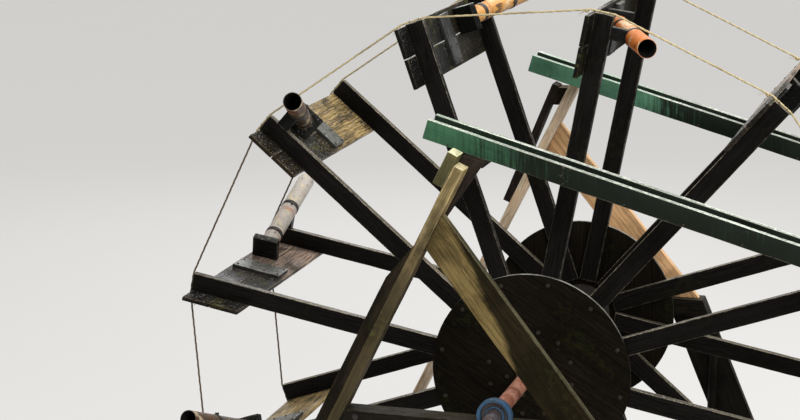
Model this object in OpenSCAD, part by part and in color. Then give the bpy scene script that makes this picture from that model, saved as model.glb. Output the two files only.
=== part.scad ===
// Undershot water wheel that lifts water with open pipes, on two timber A-frames.
// Millimetres, +Z up. The axle runs along Y, and -Y is the near side.
// The origin is on the ground, under the middle of the base rails.

/* [Wheel] */
// Distance from the axle's centre to the outer end of an arm
wheel_r = 1745; // [1500:5:2000]
// Number of arms on each side of the wheel, an even number
arm_count = 12; // [8:2:14]
// Angle of the first arm above the +X direction, in degrees
first_arm_angle = 19.5; // [0:0.5:30]
// Distance over the outer faces of the near and far arms
wheel_w = 1168; // [900:2:1400]
// Width of an arm plank, seen from the side
arm_w = 89; // [60:1:110]
// Thickness of an arm plank, along the axle
arm_t = 38; // [25:1:50]
// Room between the side of an arm's inner end and that of the next arm
arm_root_gap = 6; // [2:1:30]
// Radius of the hub discs
disc_r = 480; // [380:5:560]
// Thickness of a hub disc
disc_t = 18; // [12:1:25]
// Radius of the steel flanges welded to the shaft
flange_r = 145; // [90:5:150]
// Thickness of a steel flange
flange_t = 10; // [6:1:15]

/* [Paddles] */
// Width of one paddle board
board_w = 143; // [100:1:180]
// Gap between the two boards of a paddle
board_gap = 4; // [2:1:10]
// Thickness of a paddle board
board_t = 20; // [15:1:30]
// How far a paddle reaches past the arms on each side
paddle_overhang = 125; // [100:5:240]
// How far a paddle's outer edge stays short of the arm's end
paddle_inset = 5; // [4:1:20]
// Width of the batten that ties the two boards
batten_w = 143; // [40:1:160]
// Thickness of the batten
batten_t = 20; // [12:1:25]
// Length of the batten
batten_l = 255; // [180:5:285]
// Distance of the batten's middle from the wheel's middle, towards the near side
batten_y = 0; // [0:1:60]

/* [Lifting pipes] */
// Outer radius of a lifting pipe
pipe_r = 44.5; // [35:0.5:50]
// Wall of a lifting pipe
pipe_wall = 3.5; // [2:0.5:6]
// Length of a lifting pipe
pipe_l = 614; // [500:2:650]
// Angle between a pipe and the axle's direction, towards the turning side
pipe_swing = 23; // [15:1:30]
// Outward tilt of a pipe's open end
pipe_tilt = 2; // [0:0.5:4]
// Distance of the middle of a pipe's closed end in from the arms' tips
pipe_end_inset = 93; // [75:1:200]
// Distance of the closed end from the wheel's middle
pipe_end_y = 204; // [170:1:260]
// Distance of the closed end's middle in front of the arm's centre line
pipe_lead = 1; // [0:1:20]
// Side of the square end block of a pipe
block_w = 135; // [110:1:150]
// Thickness of the end block
block_t = 40; // [25:1:50]
// Width of the saddle between an arm and a pipe
saddle_w = 60; // [40:1:80]
// How far the saddle's horns reach round the pipe
saddle_wrap = 15; // [5:1:25]
// Width of a strap round a pipe
strap_w = 25; // [15:1:35]
// Thickness of a strap
strap_t = 2.5; // [1.5:0.5:4]
// Distance of the second strap from the end block
strap_2_gap = 90; // [40:5:150]

/* [Rim ropes] */
// Radius of the rope round the arms' ends
rope_r = 5; // [3:0.5:8]
// Number of flat sides of the rope
rope_sides = 8; // [6:2:12]
// Gap under the rope, where it lies on an arm's end
rope_gap = 0.3; // [0.1:0.1:0.5]

/* [Shaft and bearings] */
// Outer radius of the shaft pipe
shaft_r = 36.5; // [30:0.5:42]
// Wall of the shaft pipe
shaft_wall = 5; // [3:0.5:8]
// Length of the bar that is welded into each end of the shaft pipe
bar_plug_l = 100; // [60:5:150]
// How far that bar shows beyond the end of the shaft pipe
bar_nose = 110; // [20:5:150]
// How far the shaft pipe shows beyond the bearing
shaft_show = 10; // [5:1:20]
// Radial running clearance of the shaft in the bearing
run_clear = 0.05; // [0.02:0.01:0.1]
// Radius of the bearing's round flange ring
ring_r = 80; // [70:1:90]
// Width of the flange ring's rim
ring_rim = 15; // [10:1:20]
// Depth of the flange ring
ring_depth = 36; // [26:1:44]
// Thickness of the bearing's back plate
ring_plate = 9; // [6:1:14]
// Radius of the bearing's boss
boss_r = 44; // [43:1:50]
// Depth of the boss
boss_depth = 28; // [12:1:32]
// Width of the steel plate that holds the bearing to the beam
mount_plate_w = 140; // [120:2:158]
// Thickness of that plate
mount_plate_t = 10; // [6:1:16]
// Clearance of the shaft in that plate
plate_clear = 3; // [1:0.5:6]

/* [A-frames] */
// Clear height of the wheel above the ground
ground_clear = 53; // [30:5:150]
// Distance from the wheel's middle to the middle of an A-frame's leg
frame_y = 1206; // [1180:1:1300]
// Thickness of a leg, seen from the side
leg_t = 50; // [38:1:60]
// Width of a leg, along the axle
leg_w = 100; // [80:1:120]
// Lean of the main leg from upright
leg_lean = 25.9; // [20:0.1:30]
// Distance from the axle to the main leg's middle, at the axle's height
leg_at_axle = 719; // [600:1:800]
// Height of the main leg's top above the axle
leg_top = 1103; // [1000:1:1140]
// Width of the brace
brace_w = 160; // [120:1:200]
// Thickness of the brace
brace_t = 45; // [30:1:60]
// Lean of the near brace from upright
brace_lean_near = 37.8; // [30:0.1:45]
// Distance from the axle to the near brace's outer edge, at the axle's height
brace_at_axle_near = 425; // [300:1:460]
// Lean of the far brace from upright
brace_lean_far = 40.1; // [30:0.1:45]
// Distance from the axle to the far brace's outer edge, at the axle's height
brace_at_axle_far = 480; // [300:1:485]
// Depth of the beam's top below the axle
beam_drop = 45; // [40:1:60]
// Height of the beam
beam_h = 95; // [80:1:130]
// Width of the beam, along the axle
beam_w = 110; // [100:1:150]
// Distance from the axle to the beam's right end, at its top
beam_end = 543; // [500:1:650]
// Play of the timber joints that are cut along the slanted legs
joint_play = 0.1; // [0.05:0.05:0.5]
// Width of the lower leg plank
lower_leg_w = 200; // [150:5:240]
// Thickness of the lower leg plank
lower_leg_t = 45; // [30:1:60]
// Lean of the lower leg plank from upright
lower_leg_lean = 23; // [15:0.5:30]
// Radius of the stake beside the lower leg
stake_r = 24; // [15:0.5:30]
// Distance from the axle to the stake's middle
stake_x = 606; // [590:1:700]
// Depth of the stake's top below the beam
stake_drop = 10; // [5:1:200]
// Clearance of the stake in the rail and at the lower leg
stake_clear = 0.3; // [0.2:0.1:2]

/* [Leg pieces] */
// Height above the axle where the near doubler's slant begins
doubler_near_low = 590; // [400:5:650]
// Height above the axle where the near doubler's slant ends
doubler_near_top = 745; // [660:5:800]
// Height above the axle where the far doubler's foot meets the leg
doubler_far_foot = 428; // [300:1:600]
// Length of the far doubler
doubler_far_l = 710; // [500:5:850]
// Thickness of the far doubler
doubler_far_t = 38; // [25:1:50]
// Lean of the far doubler from upright
doubler_far_lean = 22.1; // [18:0.1:25]
// Length of the wedge between the far doubler and the leg
wedge_l = 95; // [60:5:200]
// Distance of the wedge below the far doubler's top
wedge_drop = 6; // [0:1:40]
// Length of the block on the near leg's top
top_block_l = 160; // [100:5:220]
// How far that block stands above the leg
top_block_rise = 45; // [10:1:60]
// Width of the strut that holds the trough
strut_w = 95; // [70:1:120]
// Thickness of the strut
strut_t = 45; // [30:1:60]
// Lean of the strut from upright
strut_lean = 33.4; // [28:0.1:38]
// Height above the axle of the strut's foot
strut_foot = 800; // [700:5:900]
// Height of the packing block that holds the far trough to its leg
pack_h = 26; // [15:1:60]

/* [Troughs] */
// Length of a trough
trough_l = 2438; // [2200:2:2500]
// Fall of a trough, in degrees
trough_fall = 15.7; // [10:0.1:17]
// Distance from the axle to the trough's high end
trough_start = 367; // [330:1:450]
// Height of the trough's upper edge above the axle, at its high end
trough_top = 1284; // [1230:1:1350]
// Height of a trough's side board
side_h = 89; // [70:1:120]
// Thickness of a trough's side board
side_t = 38; // [20:1:45]
// Inside width of a trough
trough_inside = 92; // [70:1:140]
// Thickness of a trough's floor board
floor_t = 20; // [12:1:30]
// Gap between the trough and the leg
trough_leg_gap = 54; // [6:1:70]
// Width of a bearer under a trough
bearer_w = 90; // [60:1:120]
// Thickness of a bearer
bearer_t = 40; // [25:1:50]
// Width of the prop at a trough's low end
prop_w = 95; // [70:1:120]
// Distance from the axle to the prop's middle
prop_x = 1850; // [1700:5:1900]

/* [Base] */
// Height of a base rail
rail_h = 75; // [50:5:100]
// Width of a base rail
rail_w = 170; // [150:5:220]
// Distance from the axle to a rail's left end
rail_left = 1830; // [1770:5:1950]
// Distance from the axle to a rail's right end
rail_right = 2010; // [1960:5:2200]
// Width of a cross sill
sill_w = 75; // [50:5:100]
// Height of a cross sill
sill_h = 75; // [50:5:100]
// Gap between a sill and the nearest foot
sill_foot_gap = 30; // [10:5:60]

/* [View] */
// Smoothness of round faces
$fn = 48; // [24:8:96]

/* [Hidden] */
arm_step = 360 / arm_count;
arm_y = wheel_w / 2;
// Inner ends of the arms clear each other at this radius
arm_root_r = (arm_w + arm_root_gap) / 2 / tan(arm_step / 2);
paddle_l = wheel_w + 2 * paddle_overhang;
paddle_out = wheel_r - paddle_inset;
paddle_mid = paddle_out - board_w - board_gap / 2;
rope_line = wheel_r + rope_gap + rope_r;
rotor_r = norm([rope_line, arm_w / 2 + board_t]) + rope_r;
axle_z = rotor_r + ground_clear;

// Where a pipe crosses the middle of its arm, measured from the closed end
pipe_end_r = wheel_r - pipe_end_inset;
pipe_cross = (arm_y - arm_t / 2 - pipe_end_y) / cos(pipe_swing) / cos(pipe_tilt);
pipe_cross_r = pipe_end_r + pipe_cross * cos(pipe_swing) * sin(pipe_tilt);
pipe_cross_lead = pipe_lead + pipe_cross * sin(pipe_swing);
band_r = pipe_r + strap_t;

// Sideways places, as distances from the wheel's middle
leg_in = frame_y - leg_w / 2;
leg_out = frame_y + leg_w / 2;
beam_in = frame_y - beam_w / 2;
beam_out = frame_y + beam_w / 2;
brace_in = frame_y - brace_t / 2;
bearing_in = beam_out + mount_plate_t;
shaft_end = bearing_in + ring_depth + shaft_show;
lower_leg_in = leg_out - lower_leg_t;
strut_in = leg_in - strut_t;
side_out = leg_in - trough_leg_gap;
floor_out = side_out - side_t;
floor_in = floor_out - trough_inside;
side_in = floor_in - side_t;
stake_y = lower_leg_in - stake_r - stake_clear;
rail_mid = (strut_in + leg_out) / 2;

// Heights, measured from the axle
rail_top = rail_h - axle_z;
beam_top = -beam_drop;
beam_low = beam_top - beam_h;
fall = tan(trough_fall);

// Shift that puts the middle of the rails at X = 0
shift_x = (rail_left - rail_right) / 2;

// Puts its children at the axle, which is the local origin
module at_axle() {
  translate([shift_x, 0, axle_z]) children();
}

// Near children as they are, and the same mirrored for the far side
module both_sides() {
  children();
  mirror([0, 1, 0]) children();
}

module far_side() {
  mirror([0, 1, 0]) children();
}

// Children along each arm: X outward, Y along the axle, Z to the trailing side
module each_arm(first = 0, step = 1) {
  for (i = [first : step : arm_count - 1])
    rotate([0, -first_arm_angle - i * arm_step, 0]) children();
}

// A near pipe's own line on every second arm, and a far one's on the others
module each_near_pipe() {
  each_arm(0, 2) children();
}

module each_far_pipe() {
  each_arm(1, 2) mirror([0, 1, 0]) children();
}

// Pipe frame: Z runs from the end block's outer face to the pipe's open end
module on_pipe() {
  translate([pipe_end_r, -pipe_end_y, -pipe_lead])
    rotate([90 + pipe_swing, 0, pipe_tilt])
      children();
}

// A flat piece with an outline in X and Z, between two distances on the near side
module slab(outline, inner, outer) {
  translate([0, -inner, 0]) rotate([90, 0, 0]) linear_extrude(outer - inner) polygon(outline);
}

// Middle of the main leg at a height above the axle, and half its level width
function leg_x(z) = -leg_at_axle + tan(leg_lean) * z;
leg_half = leg_t / 2 / cos(leg_lean);

// Right edge of the lower leg at a height above the axle, and its level width
function lower_leg_x(z) = beam_end + tan(lower_leg_lean) * (beam_top - z);
lower_leg_level = lower_leg_w / cos(lower_leg_lean);

// Underside of a trough at a distance from the axle
function trough_under(x) = trough_top - fall * (x + trough_start) - side_h / cos(trough_fall);
bearer_level = bearer_t / cos(trough_fall);
strut_foot_x = leg_x(strut_foot) + leg_half - strut_w / 2 / cos(strut_lean);
strut_half = strut_w / 2 / cos(strut_lean);

// Right face of the far doubler at a height above the axle, and the wedge's top
function doubler_far_x(z) =
  leg_x(doubler_far_foot) - leg_half + tan(doubler_far_lean) * (z - doubler_far_foot);
wedge_top = doubler_far_foot + cos(doubler_far_lean) * doubler_far_l - wedge_drop;

// Height where the middle of the leg passes the middle of the trough's side
pack_mid = (trough_top - side_h / 2 / cos(trough_fall) - fall * (trough_start - leg_at_axle))
  / (1 + fall * tan(leg_lean));

module shaft_pipe() {
  color("#8a5a3c")
    rotate([90, 0, 0]) difference() {
      cylinder(h = 2 * shaft_end, r = shaft_r, center = true);
      cylinder(h = 2 * shaft_end + 2, r = shaft_r - shaft_wall, center = true);
    }
}

module shaft_bars() {
  color("#8d9092")
    both_sides() translate([0, -shaft_end + bar_plug_l, 0])
      rotate([90, 0, 0]) cylinder(h = bar_plug_l + bar_nose, r = shaft_r - shaft_wall);
}

module hub_flanges() {
  color("#4a4038")
    both_sides() translate([0, -arm_y + flange_t, 0]) rotate([90, 0, 0]) difference() {
      cylinder(h = flange_t, r = flange_r);
      translate([0, 0, -1]) cylinder(h = flange_t + 2, r = shaft_r);
    }
}

module hub_discs() {
  color("#2b2622")
    both_sides() translate([0, -arm_y, 0]) rotate([90, 0, 0]) difference() {
      cylinder(h = disc_t, r = disc_r);
      translate([0, 0, -1]) cylinder(h = disc_t + 2, r = shaft_r);
    }
}

module arms_side() {
  each_arm()
    translate([arm_root_r, -arm_y, -arm_w / 2]) cube([wheel_r - arm_root_r, arm_t, arm_w]);
}

module arms_near() {
  color("#1f1c1a") arms_side();
}

module arms_far() {
  color("#26221f") translate([0, 2 * arm_y - arm_t, 0]) arms_side();
}

module paddle_boards_inner() {
  color("#2d2a24")
    each_arm()
      translate([paddle_mid - board_gap / 2 - board_w, -paddle_l / 2, arm_w / 2])
        cube([board_w, paddle_l, board_t]);
}

module paddle_boards_outer() {
  color("#35312a")
    each_arm()
      translate([paddle_mid + board_gap / 2, -paddle_l / 2, arm_w / 2])
        cube([board_w, paddle_l, board_t]);
}

module paddle_battens() {
  color("#4a443a")
    each_arm()
      translate([paddle_mid - batten_l / 2, -batten_y - batten_w / 2, arm_w / 2 - batten_t])
        cube([batten_l, batten_w, batten_t]);
}

// The end block, its foot cut flush with the paddle's leading face
module pipe_block() {
  intersection() {
    on_pipe() translate([-block_w / 2, -block_w / 2, 0]) cube([block_w, block_w, block_t]);
    translate([0, -wheel_w, arm_w / 2 - 3 * block_w]) cube([2 * wheel_r, 2 * wheel_w, 3 * block_w]);
  }
}

module pipe_blocks() {
  color("#57503f") {
    each_near_pipe() pipe_block();
    each_far_pipe() pipe_block();
  }
}

module lifting_pipe() {
  on_pipe() translate([0, 0, block_t]) difference() {
    cylinder(h = pipe_l, r = pipe_r);
    translate([0, 0, -1]) cylinder(h = pipe_l + 2, r = pipe_r - pipe_wall);
  }
}

module pipes_near() {
  color("#c9823f") each_near_pipe() lifting_pipe();
}

module pipes_far() {
  color("#d9cba6") each_far_pipe() lifting_pipe();
}

// A block on the arm's leading face, hollowed to the strap's round
module pipe_saddle() {
  difference() {
    translate([pipe_cross_r - saddle_w / 2, -arm_y, -pipe_cross_lead + band_r - saddle_wrap])
      cube([saddle_w, arm_t, pipe_cross_lead - band_r + saddle_wrap - arm_w / 2]);
    on_pipe() cylinder(h = block_t + pipe_l, r = band_r);
  }
}

module pipe_saddles() {
  color("#4f4736") {
    each_near_pipe() pipe_saddle();
    each_far_pipe() pipe_saddle();
  }
}

module pipe_bands() {
  on_pipe()
    for (s = [pipe_cross - strap_w / 2, block_t + strap_2_gap])
      translate([0, 0, s]) difference() {
        cylinder(h = strap_w, r = band_r);
        translate([0, 0, -1]) cylinder(h = strap_w + 2, r = pipe_r);
      }
}

module pipe_straps() {
  color("#3a3a3a") {
    each_near_pipe() pipe_bands();
    each_far_pipe() pipe_bands();
  }
}

// A point [x, z] turned about the axle by an angle
function turned(p, a) = [p[0] * cos(a) + p[1] * sin(a), p[1] * cos(a) - p[0] * sin(a)];

// Corners of a rim rope, which lies flat over each arm's end and its paddle
rope_corners = [for (i = [0 : arm_count - 1]) for (z = [-arm_w / 2, arm_w / 2 + board_t])
  turned([rope_line, z], -first_arm_angle - i * arm_step)];
rope_count = len(rope_corners);

// Outward normal of the rope's stretch that starts at a corner
function rope_normal(k) =
  let (d = rope_corners[(k + 1) % rope_count] - rope_corners[k % rope_count])
  [d[1], -d[0]] / norm(d);

// Outward mitre of the rope at a corner
function rope_mitre(k) =
  let (m = rope_normal(k + rope_count - 1), n = rope_normal(k))
  (m + n) / (1 + m * n);

// A rope from arm end to arm end, with rope_sides flat sides
module rim_rope() {
  rings = [for (k = [0 : rope_count - 1]) let (c = rope_corners[k], m = rope_mitre(k) * rope_r)
    for (j = [0 : rope_sides - 1]) let (t = 360 / rope_sides * j)
      [c[0] + m[0] * cos(t), rope_r * sin(t), c[1] + m[1] * cos(t)]];
  sides = [for (k = [0 : rope_count - 1]) for (j = [0 : rope_sides - 1])
    let (a = k * rope_sides, b = (k + 1) % rope_count * rope_sides, i = (j + 1) % rope_sides)
      [a + j, b + j, b + i, a + i]];
  translate([0, -arm_y + arm_t / 2, 0]) polyhedron(points = rings, faces = sides);
}

module rim_rope_near() {
  color("#b3a56a") rim_rope();
}

module rim_rope_far() {
  color("#a89a62") translate([0, 2 * arm_y - arm_t, 0]) rim_rope();
}

// Main leg: level foot on the rail, square-cut top
module leg(top) {
  rise = leg_t / 2 * sin(leg_lean);
  run = leg_t / 2 * cos(leg_lean);
  slab([[leg_x(rail_top) - leg_half, rail_top], [leg_x(rail_top) + leg_half, rail_top],
    [leg_x(top) + run, top - rise], [leg_x(top) - run, top + rise]], leg_in, leg_out);
}

module leg_near() {
  color("#a3916a") leg(leg_top);
}

module leg_far() {
  color("#b08a5a") far_side() leg(pack_mid + pack_h / 2);
}

// Lower plank on the left of the near leg, with a long slanted top
module leg_doubler_near() {
  color("#6f6549")
    slab([[leg_x(rail_top) - 3 * leg_half, rail_top], [leg_x(rail_top) - leg_half, rail_top],
      [leg_x(doubler_near_top) - leg_half, doubler_near_top],
      [leg_x(doubler_near_low) - 3 * leg_half, doubler_near_low]], leg_in, leg_out);
}

// Square-ended block on the leg's left face, part of it above the leg's top
module leg_top_block() {
  color("#8c8060")
    translate([leg_x(leg_top), 0, leg_top]) rotate([0, leg_lean, 0])
      translate([-3 * leg_t / 2, -leg_out, top_block_rise - top_block_l]) cube([leg_t, leg_w, top_block_l]);
}

// Plank that leans away from the far leg, from its foot on the leg's left face
module leg_doubler_far() {
  color("#7a6040") far_side()
    translate([leg_x(doubler_far_foot) - leg_half, -leg_out, doubler_far_foot])
      rotate([0, doubler_far_lean, 0]) translate([-doubler_far_t, 0, 0])
        cube([doubler_far_t, leg_w, doubler_far_l]);
}

// Wedge that keeps the far doubler's head off the leg
module leg_wedge() {
  high = wedge_top - wedge_l;
  right = [for (z = [high, wedge_top]) [leg_x(z) - leg_half - joint_play, z]];
  left = [for (z = [wedge_top, high]) [doubler_far_x(z) + joint_play, z]];
  color("#8a7048") far_side() slab(concat(right, left), leg_in, leg_out);
}

// Strut on the leg's inner face, its foot cut along the leg and its head under the trough
module strut_near() {
  low = [for (k = [-1, 1]) [strut_foot_x + k * strut_half, strut_foot]];
  high = [for (k = [1, -1]) [strut_edge_x(k), trough_under(strut_edge_x(k))]];
  color("#4a4030") intersection() {
    slab(concat(low, high), strut_in, leg_in);
    slab([for (z = [strut_foot, trough_top]) [leg_x(z) - leg_half, z],
      for (z = [trough_top, strut_foot]) [leg_x(z) + 4 * strut_half, z]], strut_in, leg_in);
  }
}

// Where an edge of the strut meets the underside of the trough
function strut_edge_x(k) =
  let (x0 = strut_foot_x + k * strut_half, up = tan(90 - strut_lean))
  (trough_under(0) - strut_foot + up * x0) / (up + fall);

// Brace from the beam up to the leg's right face, by its lean and outer edge
module brace(lean, edge) {
  level = brace_w / cos(lean);
  face = leg_x(0) + leg_half + joint_play;
  meet = [for (x = [edge, edge - level]) (x - face) / (tan(leg_lean) + tan(lean))];
  slab([[edge - level - tan(lean) * beam_top, beam_top], [edge - tan(lean) * beam_top, beam_top],
    [edge - tan(lean) * meet[0], meet[0]], [edge - level - tan(lean) * meet[1], meet[1]]],
    brace_in, brace_in + brace_t);
}

module brace_near() {
  color("#7d6f4c") brace(brace_lean_near, brace_at_axle_near);
}

module brace_far() {
  color("#9a7a50") far_side() brace(brace_lean_far, brace_at_axle_far);
}

// Beam from the leg's right face to the line of the lower leg's outer edge
module beam() {
  face = leg_half + joint_play;
  slab([[leg_x(beam_low) + face, beam_low], [lower_leg_x(beam_low), beam_low],
    [lower_leg_x(beam_top), beam_top], [leg_x(beam_top) + face, beam_top]], beam_in, beam_out);
}

module beam_near() {
  color("#5c584f") beam();
}

module beam_far() {
  color("#6a5c48") far_side() beam();
}

module lower_leg() {
  slab([[lower_leg_x(rail_top) - lower_leg_level, rail_top], [lower_leg_x(rail_top), rail_top],
    [lower_leg_x(beam_low), beam_low], [lower_leg_x(beam_low) - lower_leg_level, beam_low]],
    lower_leg_in, leg_out);
}

module lower_leg_near() {
  color("#4d4638") lower_leg();
}

module lower_leg_far() {
  color("#43403a") far_side() lower_leg();
}

// Plate on the beam's outer face, round above the axle, with room for the shaft
module bearing_plate() {
  translate([0, -beam_out, 0]) rotate([90, 0, 0]) difference() {
    union() {
      cylinder(h = mount_plate_t, r = mount_plate_w / 2);
      translate([-mount_plate_w / 2, beam_low, 0]) cube([mount_plate_w, -beam_low, mount_plate_t]);
    }
    translate([0, 0, -1]) cylinder(h = mount_plate_t + 2, r = shaft_r + plate_clear);
  }
}

module bearing_plates() {
  color("#4c4d4e") both_sides() bearing_plate();
}

// Round flanged bearing: an open ring round a boss with the running bore
module bearing() {
  translate([0, -bearing_in, 0]) rotate([90, 0, 0]) difference() {
    union() {
      difference() {
        cylinder(h = ring_depth, r = ring_r);
        translate([0, 0, ring_plate]) cylinder(h = ring_depth, r = ring_r - ring_rim);
      }
      cylinder(h = boss_depth, r = boss_r);
    }
    translate([0, 0, -1]) cylinder(h = ring_depth + 2, r = shaft_r + run_clear);
  }
}

module bearings() {
  color("#3f74a8") both_sides() bearing();
}

// A stake goes down through the rail to the ground
module stakes() {
  color("#6b5d50")
    both_sides() translate([stake_x, -stake_y, -axle_z])
      cylinder(h = axle_z + beam_low - stake_drop, r = stake_r);
}

module trough_board(low, high, inner, outer) {
  translate([-trough_start, -outer, trough_top]) rotate([0, trough_fall, 0])
    translate([0, 0, -side_h + low]) cube([trough_l, outer - inner, high - low]);
}

module trough_sides() {
  trough_board(0, side_h, side_in, floor_in);
  trough_board(0, side_h, floor_out, side_out);
}

module trough_sides_near() {
  color("#6f9a80") trough_sides();
}

module trough_sides_far() {
  color("#6f9a80") far_side() trough_sides();
}

module trough_floor_near() {
  color("#54705f") trough_board(0, floor_t, floor_in, floor_out);
}

module trough_floor_far() {
  color("#54705f") far_side() trough_board(0, floor_t, floor_in, floor_out);
}

strut_head_x = (strut_edge_x(-1) + strut_edge_x(1)) / 2;

// A bearer crosses under the trough, from its inner side out to the post that holds it
module bearer(x, reach) {
  translate([x, -reach, trough_under(x)]) rotate([0, trough_fall, 0])
    translate([-bearer_w / 2, 0, -bearer_t]) cube([bearer_w, reach - side_in, bearer_t]);
}

// Bearers at the strut and the props, and the far trough's packing block against its leg
module trough_bearers() {
  color("#6b6048") {
    bearer(strut_head_x, strut_in);
    both_sides() bearer(prop_x, leg_in);
    far_side() slab([for (z = [pack_mid - pack_h / 2, pack_mid + pack_h / 2]) [leg_x(z) - leg_half, z],
      for (z = [pack_mid + pack_h / 2, pack_mid - pack_h / 2]) [leg_x(z) + leg_half, z]], side_out, leg_in);
  }
}

module trough_props() {
  color("#5f5744")
    both_sides() slab([[prop_x - prop_w / 2, rail_top], [prop_x + prop_w / 2, rail_top],
      for (k = [1, -1]) [prop_x + k * prop_w / 2, trough_under(prop_x + k * prop_w / 2) - bearer_level]],
      strut_in, leg_in);
}

module base_rail() {
  difference() {
    translate([-rail_left, -rail_mid - rail_w / 2, -axle_z]) cube([rail_left + rail_right, rail_w, rail_h]);
    translate([stake_x, -stake_y, -axle_z - 1]) cylinder(h = rail_h + 2, r = stake_r + stake_clear);
  }
}

module base_rail_near() {
  color("#4b453a") base_rail();
}

module base_rail_far() {
  color("#4b453a") far_side() base_rail();
}

// Sills that tie the two rails: left of the legs, right of the lower legs and at the rails' right end
module cross_sills() {
  color("#544d40")
    for (x = [leg_x(rail_top) - 3 * leg_half - sill_foot_gap - sill_w,
      lower_leg_x(rail_top) + sill_foot_gap, rail_right - sill_w])
      translate([x, -rail_mid - rail_w / 2, rail_top]) cube([sill_w, 2 * rail_mid + rail_w, sill_h]);
}

at_axle() shaft_pipe();
at_axle() shaft_bars();
at_axle() hub_flanges();
at_axle() hub_discs();
at_axle() arms_near();
at_axle() arms_far();
at_axle() paddle_boards_inner();
at_axle() paddle_boards_outer();
at_axle() paddle_battens();
at_axle() pipe_blocks();
at_axle() pipes_near();
at_axle() pipes_far();
at_axle() pipe_saddles();
at_axle() pipe_straps();
at_axle() rim_rope_near();
at_axle() rim_rope_far();
at_axle() leg_near();
at_axle() leg_doubler_near();
at_axle() leg_top_block();
at_axle() strut_near();
at_axle() brace_near();
at_axle() beam_near();
at_axle() lower_leg_near();
at_axle() trough_sides_near();
at_axle() trough_floor_near();
at_axle() base_rail_near();
at_axle() leg_far();
at_axle() leg_doubler_far();
at_axle() leg_wedge();
at_axle() brace_far();
at_axle() beam_far();
at_axle() lower_leg_far();
at_axle() trough_sides_far();
at_axle() trough_floor_far();
at_axle() base_rail_far();
at_axle() bearing_plates();
at_axle() bearings();
at_axle() stakes();
at_axle() trough_bearers();
at_axle() trough_props();
at_axle() cross_sills();
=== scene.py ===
"""Looks of a water wheel with lifting pipes: wet and weathered timber, scaled pipes, ropes, bolts and a studio."""

import logging
import math
import random
from contextlib import contextmanager
from dataclasses import dataclass, field
from enum import Enum
from typing import Callable, Iterable, Iterator, Sequence

import bpy
import bmesh
import numpy as np
from mathutils import Matrix, Vector, noise


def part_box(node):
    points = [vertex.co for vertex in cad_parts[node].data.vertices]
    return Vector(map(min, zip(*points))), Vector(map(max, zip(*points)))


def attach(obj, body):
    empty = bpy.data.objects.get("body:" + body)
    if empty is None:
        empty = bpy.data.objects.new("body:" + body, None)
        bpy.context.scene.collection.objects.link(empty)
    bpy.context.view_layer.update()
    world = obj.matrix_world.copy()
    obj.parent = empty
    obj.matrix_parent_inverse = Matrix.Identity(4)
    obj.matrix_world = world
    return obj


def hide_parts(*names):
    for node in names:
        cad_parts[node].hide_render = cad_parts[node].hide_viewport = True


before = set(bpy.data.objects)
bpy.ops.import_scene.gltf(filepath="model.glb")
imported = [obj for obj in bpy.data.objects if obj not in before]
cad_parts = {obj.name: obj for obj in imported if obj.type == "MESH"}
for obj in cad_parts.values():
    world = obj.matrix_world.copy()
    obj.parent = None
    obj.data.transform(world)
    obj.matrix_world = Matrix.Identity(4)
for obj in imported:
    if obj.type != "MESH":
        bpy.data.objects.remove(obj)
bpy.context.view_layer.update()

LOG = logging.getLogger("water_wheel")

Colour = tuple[float, float, float]
Triple = Sequence[float]
Piece = bpy.types.Object
Material = bpy.types.Material

# How finely a CAD solid is merged, flattened and softened, in metres and radians.
MERGE_DISTANCE = 2e-5
FLAT_ANGLE = math.radians(0.6)
SHARP_ANGLE = math.radians(40)
QUARTER_TURN = math.pi / 2

# Edges longer than this share of the longest one are cut, and the noises of ripples and chips, in blobs per metre.
LONG_SHARE = 0.45
RIPPLE_SCALE = 6.0
CHIP_SCALE = 31.0


class Body(Enum):
    """The two bodies that pieces ride on."""

    WHEEL = "wheel"
    FRAME = "frame"


class Side(Enum):
    """Near side at -Y, far side at +Y."""

    NEAR = -1
    FAR = 1

    @property
    def way(self) -> Triple:
        """The direction that points out of this side."""
        return (0, self.value, 0)


def tint(red: int, green: int, blue: int) -> Colour:
    """A colour given as it looks on a screen, 0 to 255, as scene-linear values.

    Args:
        red: The red part.
        green: The green part.
        blue: The blue part.

    Returns:
        The linear colour.
    """
    def linear(v: float) -> float:
        """One channel from screen to linear."""
        return v / 12.92 if v <= 0.04045 else ((v + 0.055) / 1.055) ** 2.4

    return (linear(red / 255), linear(green / 255), linear(blue / 255))


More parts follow.
